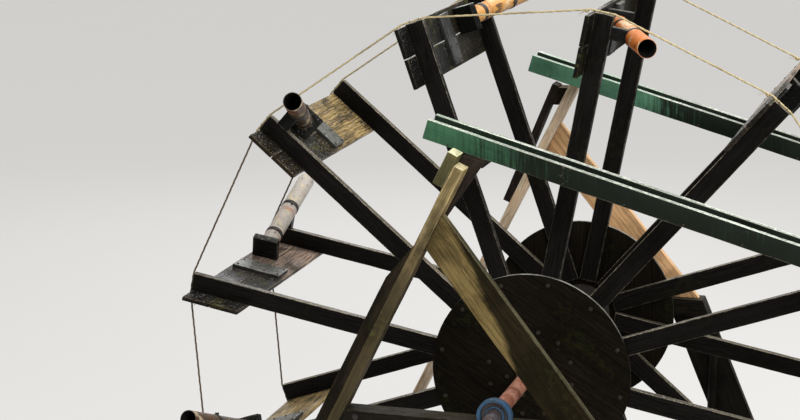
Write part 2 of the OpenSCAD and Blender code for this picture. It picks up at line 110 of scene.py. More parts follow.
@dataclass(frozen=True)
class WheelPlan:
    """Sizes and places of the wheel, in metres, as the CAD source has them."""

    axle: tuple[float, float, float] = (-0.09, 0.0, 1.809488)
    arm_count: int = 12
    first_angle: float = 19.5
    arm_width: float = 0.089
    arm_thickness: float = 0.038
    half_width: float = 0.584
    disc_thickness: float = 0.018
    board_thickness: float = 0.020
    board_width: float = 0.143
    paddle_middle: float = 1.595
    batten_half: float = 0.0715
    batten_thickness: float = 0.020
    pipe_end: tuple[float, float, float] = (1.652, -0.204, -0.001)
    pipe_swing: float = 23.0
    pipe_tilt: float = 2.0
    pipe_radius: float = 0.0445
    rope_line: float = 1.7503
    rope_radius: float = 0.005

    @property
    def plank_middle(self) -> float:
        """How far the middle of an arm's plank lies from the wheel's middle."""
        return self.half_width - self.arm_thickness / 2

    def from_axle(self, x: float, y: float, z: float) -> Vector:
        """A place given from the middle of the axle."""
        return Vector(self.axle) + Vector((x, y, z))

    def arm_angle(self, index: int) -> float:
        """The angle of an arm above +X, in radians."""
        return math.radians(self.first_angle + index * 360 / self.arm_count)

    def arm(self, index: int) -> Matrix:
        """Places an arm's own frame: X outward, Y along the axle, Z to the trailing side."""
        return Matrix.Translation(self.axle) @ Matrix.Rotation(-self.arm_angle(index), 4, "Y")

    def pipe(self, index: int) -> Matrix:
        """Places a lifting pipe's own frame, with Z from its closed end to its mouth.

        Args:
            index: The number of the arm that carries the pipe.

        Returns:
            The matrix from the pipe's frame to the row frame.
        """
        mirror = Matrix.Scale(-1, 4, (0, 1, 0)) if index % 2 else Matrix.Identity(4)
        turn = Matrix.Rotation(math.radians(self.pipe_tilt), 4, "Z")
        swing = Matrix.Rotation(math.radians(90 + self.pipe_swing), 4, "X")
        return self.arm(index) @ mirror @ Matrix.Translation(self.pipe_end) @ turn @ swing

    def nearest_arm(self, place: Vector) -> int:
        """The number of the arm that a place on the wheel lies nearest to."""
        angle = math.degrees(math.atan2(place.z - self.axle[2], place.x - self.axle[0]))
        return round((angle - self.first_angle) * self.arm_count / 360) % self.arm_count


PLAN = WheelPlan()


class Signal:
    """A number, vector or colour that the nodes of a tree work out, with arithmetic."""

    def __init__(self, nodes: "Nodes", socket: bpy.types.NodeSocket) -> None:
        """Wraps a node's output."""
        self.nodes = nodes
        self.socket = socket

    def maths(self, operation: str, other: object = 0.0) -> "Signal":
        """A sum, product or other operation on two numbers."""
        return self.nodes.add("ShaderNodeMath", {0: self, 1: other}, operation=operation)

    def vectors(self, operation: str, other: object = (0.0, 0.0, 0.0), output: str = "Vector") -> "Signal":
        """An operation on two vectors."""
        return self.nodes.add("ShaderNodeVectorMath", {0: self, 1: other}, output, operation=operation)

    def __add__(self, other: object) -> "Signal":
        """The sum."""
        return self.maths("ADD", other)

    def __sub__(self, other: object) -> "Signal":
        """The difference."""
        return self.maths("SUBTRACT", other)

    def __mul__(self, other: object) -> "Signal":
        """The product."""
        return self.maths("MULTIPLY", other)

    def most(self, other: object) -> "Signal":
        """The larger of two numbers."""
        return self.maths("MAXIMUM", other)

    def least(self, other: object) -> "Signal":
        """The smaller of two numbers."""
        return self.maths("MINIMUM", other)

    def size(self) -> "Signal":
        """The number without its sign."""
        return self.maths("ABSOLUTE")

    def part(self, axis: str) -> "Signal":
        """The X, Y or Z of a vector."""
        return self.nodes.add("ShaderNodeSeparateXYZ", {0: self}, axis)

    def stretch(self, scale: Triple) -> "Signal":
        """A vector scaled by its three parts."""
        return self.nodes.add("ShaderNodeMapping", {"Vector": self, "Scale": tuple(scale)})

    def band(self, low: float, high: float, start: float = 0.0, end: float = 1.0) -> "Signal":
        """A smooth step from start to end as the number goes from low to high."""
        return self.nodes.add("ShaderNodeMapRange", {"Value": self, "From Min": low, "From Max": high,
                                                     "To Min": start, "To Max": end},
                              interpolation_type="SMOOTHSTEP")

    def cloud(self, scale: float, detail: float = 4.0, rough: float = 0.55, twist: float = 0.0) -> "Signal":
        """Noise of about 0.3 to 0.7 that is read at a vector."""
        return self.nodes.add("ShaderNodeTexNoise", {"Vector": self, "Scale": scale, "Detail": detail,
                                                     "Roughness": rough, "Distortion": twist}, "Fac")

    def ramp(self, *stops: tuple[float, Colour]) -> "Signal":
        """A colour ramp.

        Args:
            *stops: Places and their colours, in order.

        Returns:
            The colour.
        """
        made = self.nodes.add("ShaderNodeValToRGB", {"Fac": self})
        elements = made.socket.node.color_ramp.elements
        while len(elements) < len(stops):
            elements.new(0.5)
        for element, (place, colour) in zip(elements, stops):
            element.position = place
            element.color = (*colour, 1.0)
        return made

    def relief(self, depth: float, under: "Signal | None" = None, strength: float = 1.0) -> "Signal":
        """A bump of some depth in metres, over another one if given."""
        inputs = {"Height": self, "Distance": depth, "Strength": strength}
        if under is not None:
            inputs["Normal"] = under
        return self.nodes.add("ShaderNodeBump", inputs)


class Nodes:
    """A node tree, with short ways to add and feed nodes."""

    def __init__(self, tree: bpy.types.NodeTree) -> None:
        """Takes a tree to work on."""
        self.tree = tree

    def feed(self, socket: bpy.types.NodeSocket, value: object) -> None:
        """Links a socket to a signal, or sets its value."""
        if isinstance(value, Signal):
            self.tree.links.new(value.socket, socket)
        elif isinstance(value, tuple) and len(value) == 3 and socket.type == "RGBA":
            socket.default_value = (*value, 1.0)
        else:
            socket.default_value = value

    def add(self, kind: str, inputs: dict, output: int | str = 0, **settings: object) -> Signal:
        """Adds a node.

        Args:
            kind: The node's type name.
            inputs: What each of its sockets is fed, by name or number.
            output: The name or number of the output that is wanted.
            **settings: The node's own options.

        Returns:
            The output.
        """
        made = self.tree.nodes.new(kind)
        for option, value in settings.items():
            setattr(made, option, value)
        for socket, value in inputs.items():
            self.feed(made.inputs[socket], value)
        return Signal(self, made.outputs[output])

    def seen(self) -> Signal:
        """1 on rays from the camera, off glossy surfaces and through clear ones, and otherwise 0."""
        camera, glossy, through = (self.add("ShaderNodeLightPath", {}, f"Is {kind} Ray")
                                   for kind in ("Camera", "Glossy", "Transmission"))
        return camera.most(glossy).most(through)


class Paint(Nodes):
    """A material in the making."""

    def __init__(self, name: str) -> None:
        """Starts a material with its principled shader.

        Args:
            name: The material's name.
        """
        self.material = bpy.data.materials.new(name)
        self.material.use_nodes = True
        super().__init__(self.material.node_tree)
        self.shader = self.tree.nodes["Principled BSDF"]

    def stored(self, name: str, output: str = "Vector") -> Signal:
        """An attribute that the mesh stores on its points."""
        return self.add("ShaderNodeAttribute", {}, output, attribute_name=name)

    def place(self) -> Signal:
        """The point's place in the row frame."""
        return self.add("ShaderNodeTexCoord", {}, "Object")

    def facing(self) -> Signal:
        """How much the surface faces up, from -1 to 1."""
        return self.add("ShaderNodeNewGeometry", {}, "Normal").part("Z")

    def mix(self, amount: object, under: object, over: object) -> Signal:
        """One colour over another, by how much of the upper one shows."""
        return self.add("ShaderNodeMix", {0: amount, 6: under, 7: over}, 2, data_type="RGBA")

    def finish(self, colour: object, rough: object, normal: Signal | None = None, metal: float = 0.0,
               shine: float = 0.5, ior: float = 1.45) -> Material:
        """Feeds the shader.

        Args:
            colour: The base colour.
            rough: The roughness.
            normal: The bumped normal.
            metal: How metallic it is.
            shine: The specular level.
            ior: The refractive index, which is low where the surface soaks up light at every angle.

        Returns:
            The material.
        """
        settings = {"Base Color": colour, "Roughness": rough, "Metallic": metal, "Specular IOR Level": shine,
                    "IOR": ior}
        if normal is not None:
            settings["Normal"] = normal
        for socket, value in settings.items():
            self.feed(self.shader.inputs[socket], value)
        return self.material


@dataclass(frozen=True)
class Finish:
    """What every finish has: its material's name and a slot name."""

    name: str
    slot: str

    def material(self) -> Material:
        """Builds the material, which each kind of finish does in its own way."""
        raise NotImplementedError


class Boards(Finish):
    """What bare and painted timber share: patterns that follow each board."""

    def own_place(self, paint: Paint) -> Signal:
        """The point's place in its board, shifted by the board's seed."""
        seed = paint.stored("seed", "Fac")
        shift = paint.add("ShaderNodeCombineXYZ", {k: seed * factor for k, factor in enumerate((7.3, 3.1, 5.7))})
        return paint.stored("board").vectors("ADD", shift)

    def edge_distance(self, paint: Paint) -> Signal:
        """How far a point lies outside a board's nearest edge, negative inside a face."""
        gap = paint.stored("board").vectors("ABSOLUTE").vectors("SUBTRACT", paint.stored("half"))
        x, y, z = (gap.part(axis) for axis in "XYZ")
        return x.least(y).most(x.most(y).least(z))


@dataclass(frozen=True)
class Timber(Boards):
    """Sawn timber with grain along each board, stains, moss, worn edges, painted highlights on edges and tops that face
    up, and painted glints.

    light is None where each board stores its own tone. The damp and shade height is where the ground's damp and the
    painted shade towards the ground end, near_wet the two places along the axle between which the wet dark near end
    sets in, and strip a direction in X and Z with the two distances between which moss sets in.
    """

    light: Colour | None
    dark: Colour
    vein: Colour
    stain: Colour
    # Pale colour of worn edges, also used for the painted highlights on edges and tops that face up.
    edge: Colour
    moss: Colour
    moss_amount: float
    stain_amount: float = 0.5
    # How much worn edges show, weighted towards edges that face up as a painted highlight, and how much tops take a
    # painted highlight.
    edge_wear_and_highlight: float = 0.5
    top_highlight_amount: float = 0.0
    # How many painted glints fleck the faces that look up.
    glint_amount: float = 0.0
    # Below this height the wood darkens, as the ground's damp and as painted shade.
    damp_and_shade_height: float = 0.0
    damp_and_shade_amount: float = 0.8
    near_wet: tuple[float, ...] = ()
    strip: tuple[float, ...] = ()
    rough: tuple[float, float] = (0.5, 0.85)
    shine: float = 0.4
    ior: float = 1.4
    grain_depth: float = 0.0012
    # Colour of the painted glints.
    glint_colour: Colour = tint(208, 210, 210)

    def grained(self, paint: Paint, board: Signal, streaks: Signal, fibres: Signal) -> Signal:
        """The clean wood's colour.

        Args:
            paint: The material in the making.
            board: The place in the board.
            streaks: Broad noise along the grain.
            fibres: Fine noise along the grain.

        Returns:
            The colour.
        """
        rings = paint.add("ShaderNodeTexWave", {"Vector": board.stretch((0.35, 1, 1)), "Scale": 15.0, "Distortion": 7.0,
                                                "Detail": 3.0, "Detail Scale": 1.4}, "Fac", bands_direction="Y")
        black, white = (0.0, 0.0, 0.0), (1.0, 1.0, 1.0)
        pale = (streaks * 0.75 + rings * 0.25).ramp((0.33, black), (0.5, white), (0.66, black))
        light, dark, vein = self.light, self.dark, self.vein
        if light is None:
            light = paint.stored("tone", "Color")
            dark, vein = paint.mix(0.3, vein, light), paint.mix(0.12, vein, light)
        wood = paint.mix(fibres.band(0.5, 0.36), paint.mix(pale, dark, light), vein)
        return paint.mix(paint.stored("seed", "Fac").band(0.0, 1.0, 0.0, 0.35), wood, dark)

    def wet_and_shaded(self, place: Signal, blots: Signal) -> object:
        """How much damp from the ground with painted shade, wet ends and the mossy strip darken a point.

        Args:
            place: The place in the row frame.
            blots: Slow noise that breaks the borders.

        Returns:
            The amount, from 0 to 1.
        """
        amount = 0.0
        # Darker below a height: the ground's damp and painted shade.
        if self.damp_and_shade_height:
            line = place.part("Z") - blots * 0.6
            amount = line.band(self.damp_and_shade_height, self.damp_and_shade_height - 0.45, 0.0, self.damp_and_shade_amount).most(amount)
        if self.near_wet:
            start, end = self.near_wet
            reach = place.part("Y") + blots * 0.5
            amount = reach.band(start + 0.25, end + 0.25, 0.0, 0.95).most(amount)
        if self.strip:
            x, z, low, high = self.strip
            reach = place.vectors("DOT_PRODUCT", (x, 0.0, z), "Value") + blots * 0.09
            amount = reach.band(low + 0.045, high + 0.045, 0.0, 0.93).most(amount)
        return amount

    def wear_and_highlight(self, paint: Paint, up: Signal, streaks: Signal, specks: Signal) -> Signal:
        """How much the edges show the pale colour, as wear and as a painted highlight that is strongest on edges that
        face up, and the top as a painted highlight where it has one.

        Args:
            paint: The material in the making.
            up: How much the surface faces up.
            streaks: Broad noise along the grain.
            specks: Fine noise.

        Returns:
            The amount, from 0 to 1.
        """
        rim = self.edge_distance(paint) + specks * 0.016
        wear_and_highlight = rim.band(0.0035, 0.0085) * self.edge_wear_and_highlight
        # Edges that face up are paler: a painted highlight where light falls on them, over the wear.
        wear_and_highlight = wear_and_highlight * up.band(0.1, 0.75, 0.12, 1.0) * streaks.band(0.38, 0.55, 0.3, 1.0)
        # A pale top: a painted highlight on faces that look up.
        if self.top_highlight_amount:
            top = up.band(0.3, 0.8) * self.top_highlight_amount
            wear_and_highlight = wear_and_highlight.most(top * (streaks + specks * 0.6).band(0.6, 0.9, 0.3, 1.0))
        return wear_and_highlight

    def material(self) -> Material:
        """Builds the wood.

        Returns:
            The material.
        """
        paint = Paint(self.name)
        board, place, up = self.own_place(paint), paint.place(), paint.facing()
        streaks = board.stretch((1.6, 34, 34)).cloud(1.0, 5.0, 0.6, 0.35)
        fibres = board.stretch((7, 300, 300)).cloud(1.0, 3.0, 0.6)
        cracks = board.stretch((2.2, 120, 120)).cloud(1.0, 2.0).band(0.36, 0.28)
        blots, specks = place.cloud(3.4, 5.0, 0.6, 0.4), place.cloud(38.0, 4.0, 0.7)
        growth = (blots * 0.6 + specks * 0.4).band(0.54, 0.64) * up.band(-0.4, 0.6, 0.25, 1.0) * self.moss_amount
        dirt = (blots + streaks * 0.5).band(0.66, 0.86) * self.stain_amount
        wood = self.grained(paint, board, streaks, fibres)
        # The darkening below a height is partly painted shade, and the pale edges and tops are partly a painted
        # highlight.
        for amount, over in ((dirt, self.stain), (self.wet_and_shaded(place, blots), self.stain), (growth, self.moss),
                             (cracks * 0.7, self.stain), (self.wear_and_highlight(paint, up, streaks, specks), self.edge)):
            wood = paint.mix(amount, wood, over)
        # Pale specks on faces that look up paint glints of light on the wet wood.
        if self.glint_amount:
            glint_specks = place.cloud(120.0, 3.0, 0.7).band(0.6, 0.68) * (up.band(0.15, 0.6) * self.glint_amount)
            wood = paint.mix(glint_specks, wood, self.glint_colour)
        normal = (streaks - cracks).relief(self.grain_depth * 1.6, fibres.relief(self.grain_depth))
        return paint.finish(wood, (blots + fibres * 0.4).band(0.5, 0.9, *self.rough), growth.relief(0.003, normal),
                            shine=self.shine, ior=self.ior)


@dataclass(frozen=True)
class PaintedTimber(Boards):
    """Painted boards: streaked paint, chipped edges, a wet black inside, grime towards the low end and a painted
    highlight on their tops near the edges.

    wet_from and wet_to are the places along X between which the grime sets in, and inside gives the distances
    from the wheel's middle between which the trough's inner faces lie.
    """

    coat: Colour = tint(62, 104, 76)
    coat_dark: Colour = tint(46, 78, 57)
    wet_from: float = -0.50
    wet_to: float = 0.22
    grime: Colour = tint(15, 19, 12)
    # Pale colour painted on the tops near the edges as a highlight.
    painted_top_highlight: Colour = tint(214, 220, 206)
    wood_light: Colour = tint(128, 122, 104)
    wood_dark: Colour = tint(70, 64, 52)
    inside: tuple[float, float] = (0.9705, 1.0655)

    def grime_amount(self, place: Signal, blots: Signal) -> Signal:
        """How much wet grime covers the paint, from the trough's inside, its low end and the runs of water.

        Args:
            place: The place in the row frame.
            blots: Slow noise that breaks the borders.

        Returns:
            The amount, from 0 to 1.
        """
        runs = place.stretch((78, 78, 5.0)).cloud(1.0, 5.0, 0.65, 0.3)
        wet = (place.part("X") + blots * 0.5).band(self.wet_from + 0.25, self.wet_to + 0.25)
        dirt = (runs + wet * 0.5).band(0.42, 0.94) * wet.band(0.0, 0.75, 0.45, 0.98)
        reach = place.part("Y").size()
        low, high = self.inside
        return dirt.most(reach.band(low - 0.001, low) * reach.band(high + 0.001, high) * 0.9)

    def material(self) -> Material:
        """Builds the painted wood.

        Returns:
            The material.
        """
        paint = Paint(self.name)
        board, place = self.own_place(paint), paint.place()
        fibres = board.stretch((6, 240, 240)).cloud(1.0, 3.0, 0.6)
        streaks = board.stretch((2.0, 26, 26)).cloud(1.0, 5.0, 0.6, 0.3)
        blots, specks = place.cloud(5.0, 5.0, 0.6, 0.3), place.cloud(60.0, 4.0, 0.7)
        coat = blots.ramp((0.34, self.coat_dark), (0.5, self.coat), (0.68, self.coat))
        coat = paint.mix(streaks.band(0.52, 0.68, 0.0, 0.5), coat, self.coat_dark)
        coat = paint.mix(fibres.band(0.46, 0.34, 0.0, 0.4), coat, self.coat_dark)
        coat = paint.mix(self.grime_amount(place, blots), coat, self.grime)
        rim = self.edge_distance(paint)
        flakes = (specks + blots * 0.8).band(1.14, 1.2)
        chips = ((rim + specks * 0.012).band(0.0025, 0.0055) * 0.6).most(flakes * 0.5)
        wood = paint.mix(chips, coat, streaks.ramp((0.35, self.wood_dark), (0.6, self.wood_light)))
        # Tops near an edge are painted pale as a highlight where light falls.
        top = paint.facing().band(0.6, 0.9) * (streaks + specks).band(0.8, 1.06, 1.0, 0.35)
        wood = paint.mix(top * rim.band(-0.03, -0.012), wood, self.painted_top_highlight)
        normal = chips.relief(0.0008, fibres.relief(0.0007), 0.6)
        return paint.finish(wood, blots.band(0.35, 0.7, 0.4, 0.7), normal, shine=0.4, ior=1.25)


@dataclass(frozen=True)
class ScaledPipe(Finish):
    """A pipe stained by rust and lime, in the tone stored on each pipe, with painted shade in its bore."""

    name: str = "scaled_pipe"
    slot: str = "pipe"
    rust: Colour = tint(168, 84, 28)
    lime: Colour = tint(224, 206, 170)
    slime: Colour = tint(40, 32, 24)
    # Near black painted on the bore's wall as shade in the hollow.
    inside: Colour = tint(24, 22, 20)

    def material(self) -> Material:
        """Builds the pipe's finish.

        Returns:
            The material.
        """
        paint = Paint(self.name)
        own, tube = paint.stored("tone", "Color"), paint.stored("board")
        shifted = tube.vectors("ADD", own.stretch((9.0, 9.0, 9.0)))
        patches = shifted.stretch((9, 16, 16)).cloud(1.0, 5.0, 0.65, 0.6)
        rings = shifted.stretch((26, 5, 5)).cloud(1.0, 3.0, 0.6, 0.3)
        specks = shifted.cloud(48.0, 5.0, 0.75)
        around = paint.add("ShaderNodeCombineXYZ", {1: tube.part("Y"), 2: tube.part("Z")})
        # The bore's wall is painted dark as shade in the hollow.
        bore = around.vectors("LENGTH", output="Value").band(PLAN.pipe_radius - 0.001, PLAN.pipe_radius - 0.0025)
        colour = own
        for amount, over in ((patches.band(0.52, 0.62, 0.0, 0.7), self.lime),
                             (rings.band(0.56, 0.66, 0.0, 0.55), self.rust),
                             (patches.band(0.42, 0.34, 0.0, 0.8), self.slime),
                             (specks.band(0.57, 0.68, 0.0, 0.7), self.slime), (bore, self.inside)):
            colour = paint.mix(amount, colour, over)
        return paint.finish(colour, patches.band(0.35, 0.65, 0.35, 0.7), specks.relief(0.0005, patches.relief(0.0012)))


@dataclass(frozen=True)
class Metal(Finish):
    """Steel or iron, from bare to rusted or painted, and dark farther than dark_from from the wheel's middle."""

    base: Colour
    worn: Colour
    rust: Colour = tint(112, 62, 34)
    rust_amount: float = 0.4
    metallic: float = 0.6
    rough: tuple[float, float] = (0.3, 0.65)
    shine: float = 0.5
    dark_from: float = 0.0
    dark: Colour = tint(52, 46, 46)

    def material(self) -> Material:
        """Builds the metal.

        Returns:
            The material.
        """
        paint = Paint(self.name)
        place = paint.place()
        blots, specks = place.cloud(12.0, 5.0, 0.65, 0.4), place.cloud(132.0, 4.0, 0.7)
        colour = paint.mix(blots.band(0.42, 0.6), self.base, self.worn)
        colour = paint.mix((blots + specks * 0.5).band(0.72, 0.88) * self.rust_amount, colour, self.rust)
        if self.dark_from:
            colour = paint.mix(place.part("Y").size().band(self.dark_from - 0.01, self.dark_from), colour, self.dark)
        return paint.finish(colour, specks.band(0.35, 0.65, *self.rough), blots.relief(0.0008, specks.relief(0.0004)),
                            self.metallic, self.shine)


@dataclass(frozen=True)
class Twine(Finish):
    """Weathered rope fibre, soaked below dry_height."""

    name: str = "weathered_twine"
    slot: str = "rope"
    light: Colour = tint(216, 200, 156)
    dark: Colour = tint(148, 130, 92)
    wet: Colour = tint(52, 39, 30)
    damp: Colour = tint(88, 68, 50)
    dry_height: float = 2.85

    def material(self) -> Material:
        """Builds the rope's finish.

        Returns:
            The material.
        """
        paint = Paint(self.name)
        place = paint.place()
        hairs, dirt = place.cloud(420.0, 3.0, 0.7), place.cloud(5.0, 5.0, 0.6)
        colour = hairs.ramp((0.35, self.dark), (0.62, self.light))
        colour = paint.mix(dirt.band(0.5, 0.66, 0.0, 0.75), colour, self.dark)
        soaked = place.part("Z").band(self.dry_height + 0.12, self.dry_height - 0.12, 0.0, 0.9)
        colour = paint.mix(soaked, colour, hairs.ramp((0.35, self.wet), (0.75, self.damp)))
        return paint.finish(colour, dirt.band(0.3, 0.7, 0.75, 0.95), hairs.relief(0.0006))


WET_ARM = Timber("wet_arm_wood", "wet_wood", light=tint(30, 27, 24), dark=tint(18, 17, 15), vein=tint(10, 9, 9),
                 stain=tint(11, 10, 9), edge=tint(214, 200, 172), edge_wear_and_highlight=0.9, top_highlight_amount=0.22,
                 moss=tint(50, 52, 26), moss_amount=0.3, glint_amount=0.6, rough=(0.16, 0.5), shine=0.3, ior=1.16)
WET_DISC = Timber("wet_disc_wood", "wet_wood", light=tint(32, 27, 19), dark=tint(19, 16, 12), vein=tint(11, 9, 7),
                  stain=tint(9, 8, 6), edge=tint(196, 196, 184), edge_wear_and_highlight=0.0, top_highlight_amount=0.5,
                  moss=tint(50, 52, 20), moss_amount=0.4, rough=(0.35, 0.65), shine=0.3, ior=1.12)
WET_PADDLE = Timber("wet_paddle_wood", "wet_wood", light=None, dark=tint(66, 56, 42), vein=tint(40, 34, 26),
                    stain=tint(20, 20, 19), edge=tint(172, 152, 114), moss=tint(104, 100, 46), moss_amount=0.6,
                    stain_amount=0.8, glint_amount=0.75, near_wet=(0.08, -0.14), rough=(0.14, 0.5), shine=0.3, ior=1.13)
WET_BLOCK = Timber("wet_block_wood", "wet_wood", light=tint(28, 28, 26), dark=tint(18, 18, 17), vein=tint(10, 10, 10),
                   stain=tint(12, 12, 12), edge=tint(140, 138, 126), edge_wear_and_highlight=0.4, top_highlight_amount=0.3,
                   moss=tint(52, 56, 32), moss_amount=0.3, glint_amount=0.7, rough=(0.15, 0.5), ior=1.16)
WET_BATTEN = Timber("wet_batten_wood", "wet_wood", light=tint(72, 74, 70), dark=tint(44, 45, 43),
                    vein=tint(26, 26, 25), stain=tint(18, 19, 19), edge=tint(190, 188, 176), edge_wear_and_highlight=0.6,
                    top_highlight_amount=0.2, moss=tint(88, 92, 50), moss_amount=0.5, stain_amount=0.8, glint_amount=0.8,
                    rough=(0.12, 0.5), ior=1.25)
LEG_WOOD = Timber("leg_timber", "timber", light=tint(206, 184, 136), dark=tint(170, 148, 102), vein=tint(116, 98, 62),
                  stain=tint(48, 41, 28), edge=tint(222, 214, 172), top_highlight_amount=0.7, moss=tint(98, 98, 48),
                  moss_amount=0.6, stain_amount=0.6, damp_and_shade_height=2.52, damp_and_shade_amount=0.9, rough=(0.55, 0.85),
                  shine=0.35, ior=1.25)
BLOCK_WOOD = Timber("leg_top_timber", "timber", light=tint(112, 104, 60), dark=tint(82, 76, 44),
                    vein=tint(52, 48, 28), stain=tint(42, 38, 24), edge=tint(218, 218, 172), edge_wear_and_highlight=0.7,
                    top_highlight_amount=1.0, moss=tint(84, 90, 38), moss_amount=0.8, rough=(0.55, 0.85))
DOUBLER_WOOD = Timber("leg_plank_timber", "timber", light=tint(52, 44, 32), dark=tint(36, 31, 23),
                      vein=tint(22, 19, 15), stain=tint(19, 17, 13), edge=tint(148, 128, 90), top_highlight_amount=0.2,
                      moss=tint(52, 55, 30), moss_amount=0.5, stain_amount=0.7, shine=0.3, ior=1.15)
BRACE_WOOD = Timber("brace_timber", "timber", light=tint(152, 132, 86), dark=tint(114, 96, 60), vein=tint(72, 60, 38),
                    stain=tint(15, 14, 8), edge=tint(134, 130, 100), edge_wear_and_highlight=0.7, top_highlight_amount=0.5,
                    moss=tint(60, 64, 34), moss_amount=0.4, strip=(0.9402, 0.4195, 0.803, 0.84), shine=0.3, ior=1.15)
# Paler than the near leg's wood: painted sunlight on the far leg.
PAINTED_SUNLIT_FAR_LEG_WOOD = Timber("far_leg_timber_painted_sunlit", "timber", light=tint(252, 234, 208), dark=tint(234, 206, 170),
                      vein=tint(190, 156, 122), stain=tint(88, 66, 42), edge=tint(236, 220, 196),
                      moss=tint(118, 110, 58), moss_amount=0.3, stain_amount=0.35, damp_and_shade_height=0.9, rough=(0.5, 0.8))
# Paler than the near brace's wood: painted sunlight on the far brace.
PAINTED_SUNLIT_FAR_BRACE_WOOD = Timber("far_brace_timber_painted_sunlit", "timber", light=tint(250, 204, 150), dark=tint(226, 176, 124),
                        vein=tint(180, 132, 88), stain=tint(84, 56, 34), edge=tint(232, 196, 150), edge_wear_and_highlight=0.6,
                        top_highlight_amount=0.4, moss=tint(104, 96, 50), moss_amount=0.25, stain_amount=0.4, rough=(0.5, 0.8))
DARK_WOOD = Timber("damp_timber", "dark_timber", light=tint(36, 32, 25), dark=tint(23, 20, 16), vein=tint(14, 12, 10),
                   stain=tint(14, 12, 9), edge=tint(122, 112, 92), top_highlight_amount=0.15, moss=tint(42, 46, 22),
                   moss_amount=0.5, stain_amount=0.8, rough=(0.4, 0.8), shine=0.3, ior=1.2)
# Its dark colours paint the shade that the trough casts on the near strut.
STRUT_WOOD = Timber("strut_timber", "dark_timber", light=tint(58, 48, 41), dark=tint(38, 32, 27), vein=tint(22, 18, 15),
                    stain=tint(20, 17, 14), edge=tint(112, 96, 78), edge_wear_and_highlight=0.3, moss=tint(46, 48, 28),
                    moss_amount=0.3, rough=(0.45, 0.8), shine=0.3, ior=1.2)
GREEN_NEAR = PaintedTimber("green_boards_near", "green_paint")
GREEN_FAR = PaintedTimber("green_boards_far", "green_paint", coat=tint(92, 140, 112), coat_dark=tint(66, 104, 82),
                          wet_from=-0.1, wet_to=0.5)
RUSTY_SHAFT = Metal("rusty_shaft", "rusty_steel", tint(178, 126, 104), tint(152, 92, 68), rust=tint(96, 54, 38),
                    rust_amount=0.6, metallic=0.0, rough=(0.4, 0.7), dark_from=1.3)
BARE_STEEL = Metal("worn_steel", "bare_steel", tint(104, 98, 100), tint(78, 74, 76), rust_amount=0.35)
DARK_STEEL = Metal("dark_steel", "dark_steel", tint(46, 44, 42), tint(30, 28, 27), rust=tint(70, 46, 32),
                   rust_amount=0.6, metallic=0.3)
WET_STEEL = Metal("wet_bolt_steel", "dark_steel", tint(46, 42, 31), tint(29, 26, 19), rust=tint(40, 28, 19),
                  rust_amount=0.8, metallic=0.0, rough=(0.35, 0.6), shine=0.2)
BLUE_IRON = Metal("blue_iron", "blue_iron", tint(44, 78, 108), tint(24, 44, 62), rust=tint(100, 122, 136),
                  metallic=0.0, rough=(0.3, 0.6))
GREY_IRON = Metal("grey_sleeve", "blue_iron", tint(62, 60, 62), tint(38, 36, 38), metallic=0.4)


def faces_up(face: bmesh.types.BMFace) -> bool:
    """Whether a face looks up."""
    return face.normal.z > 0.9


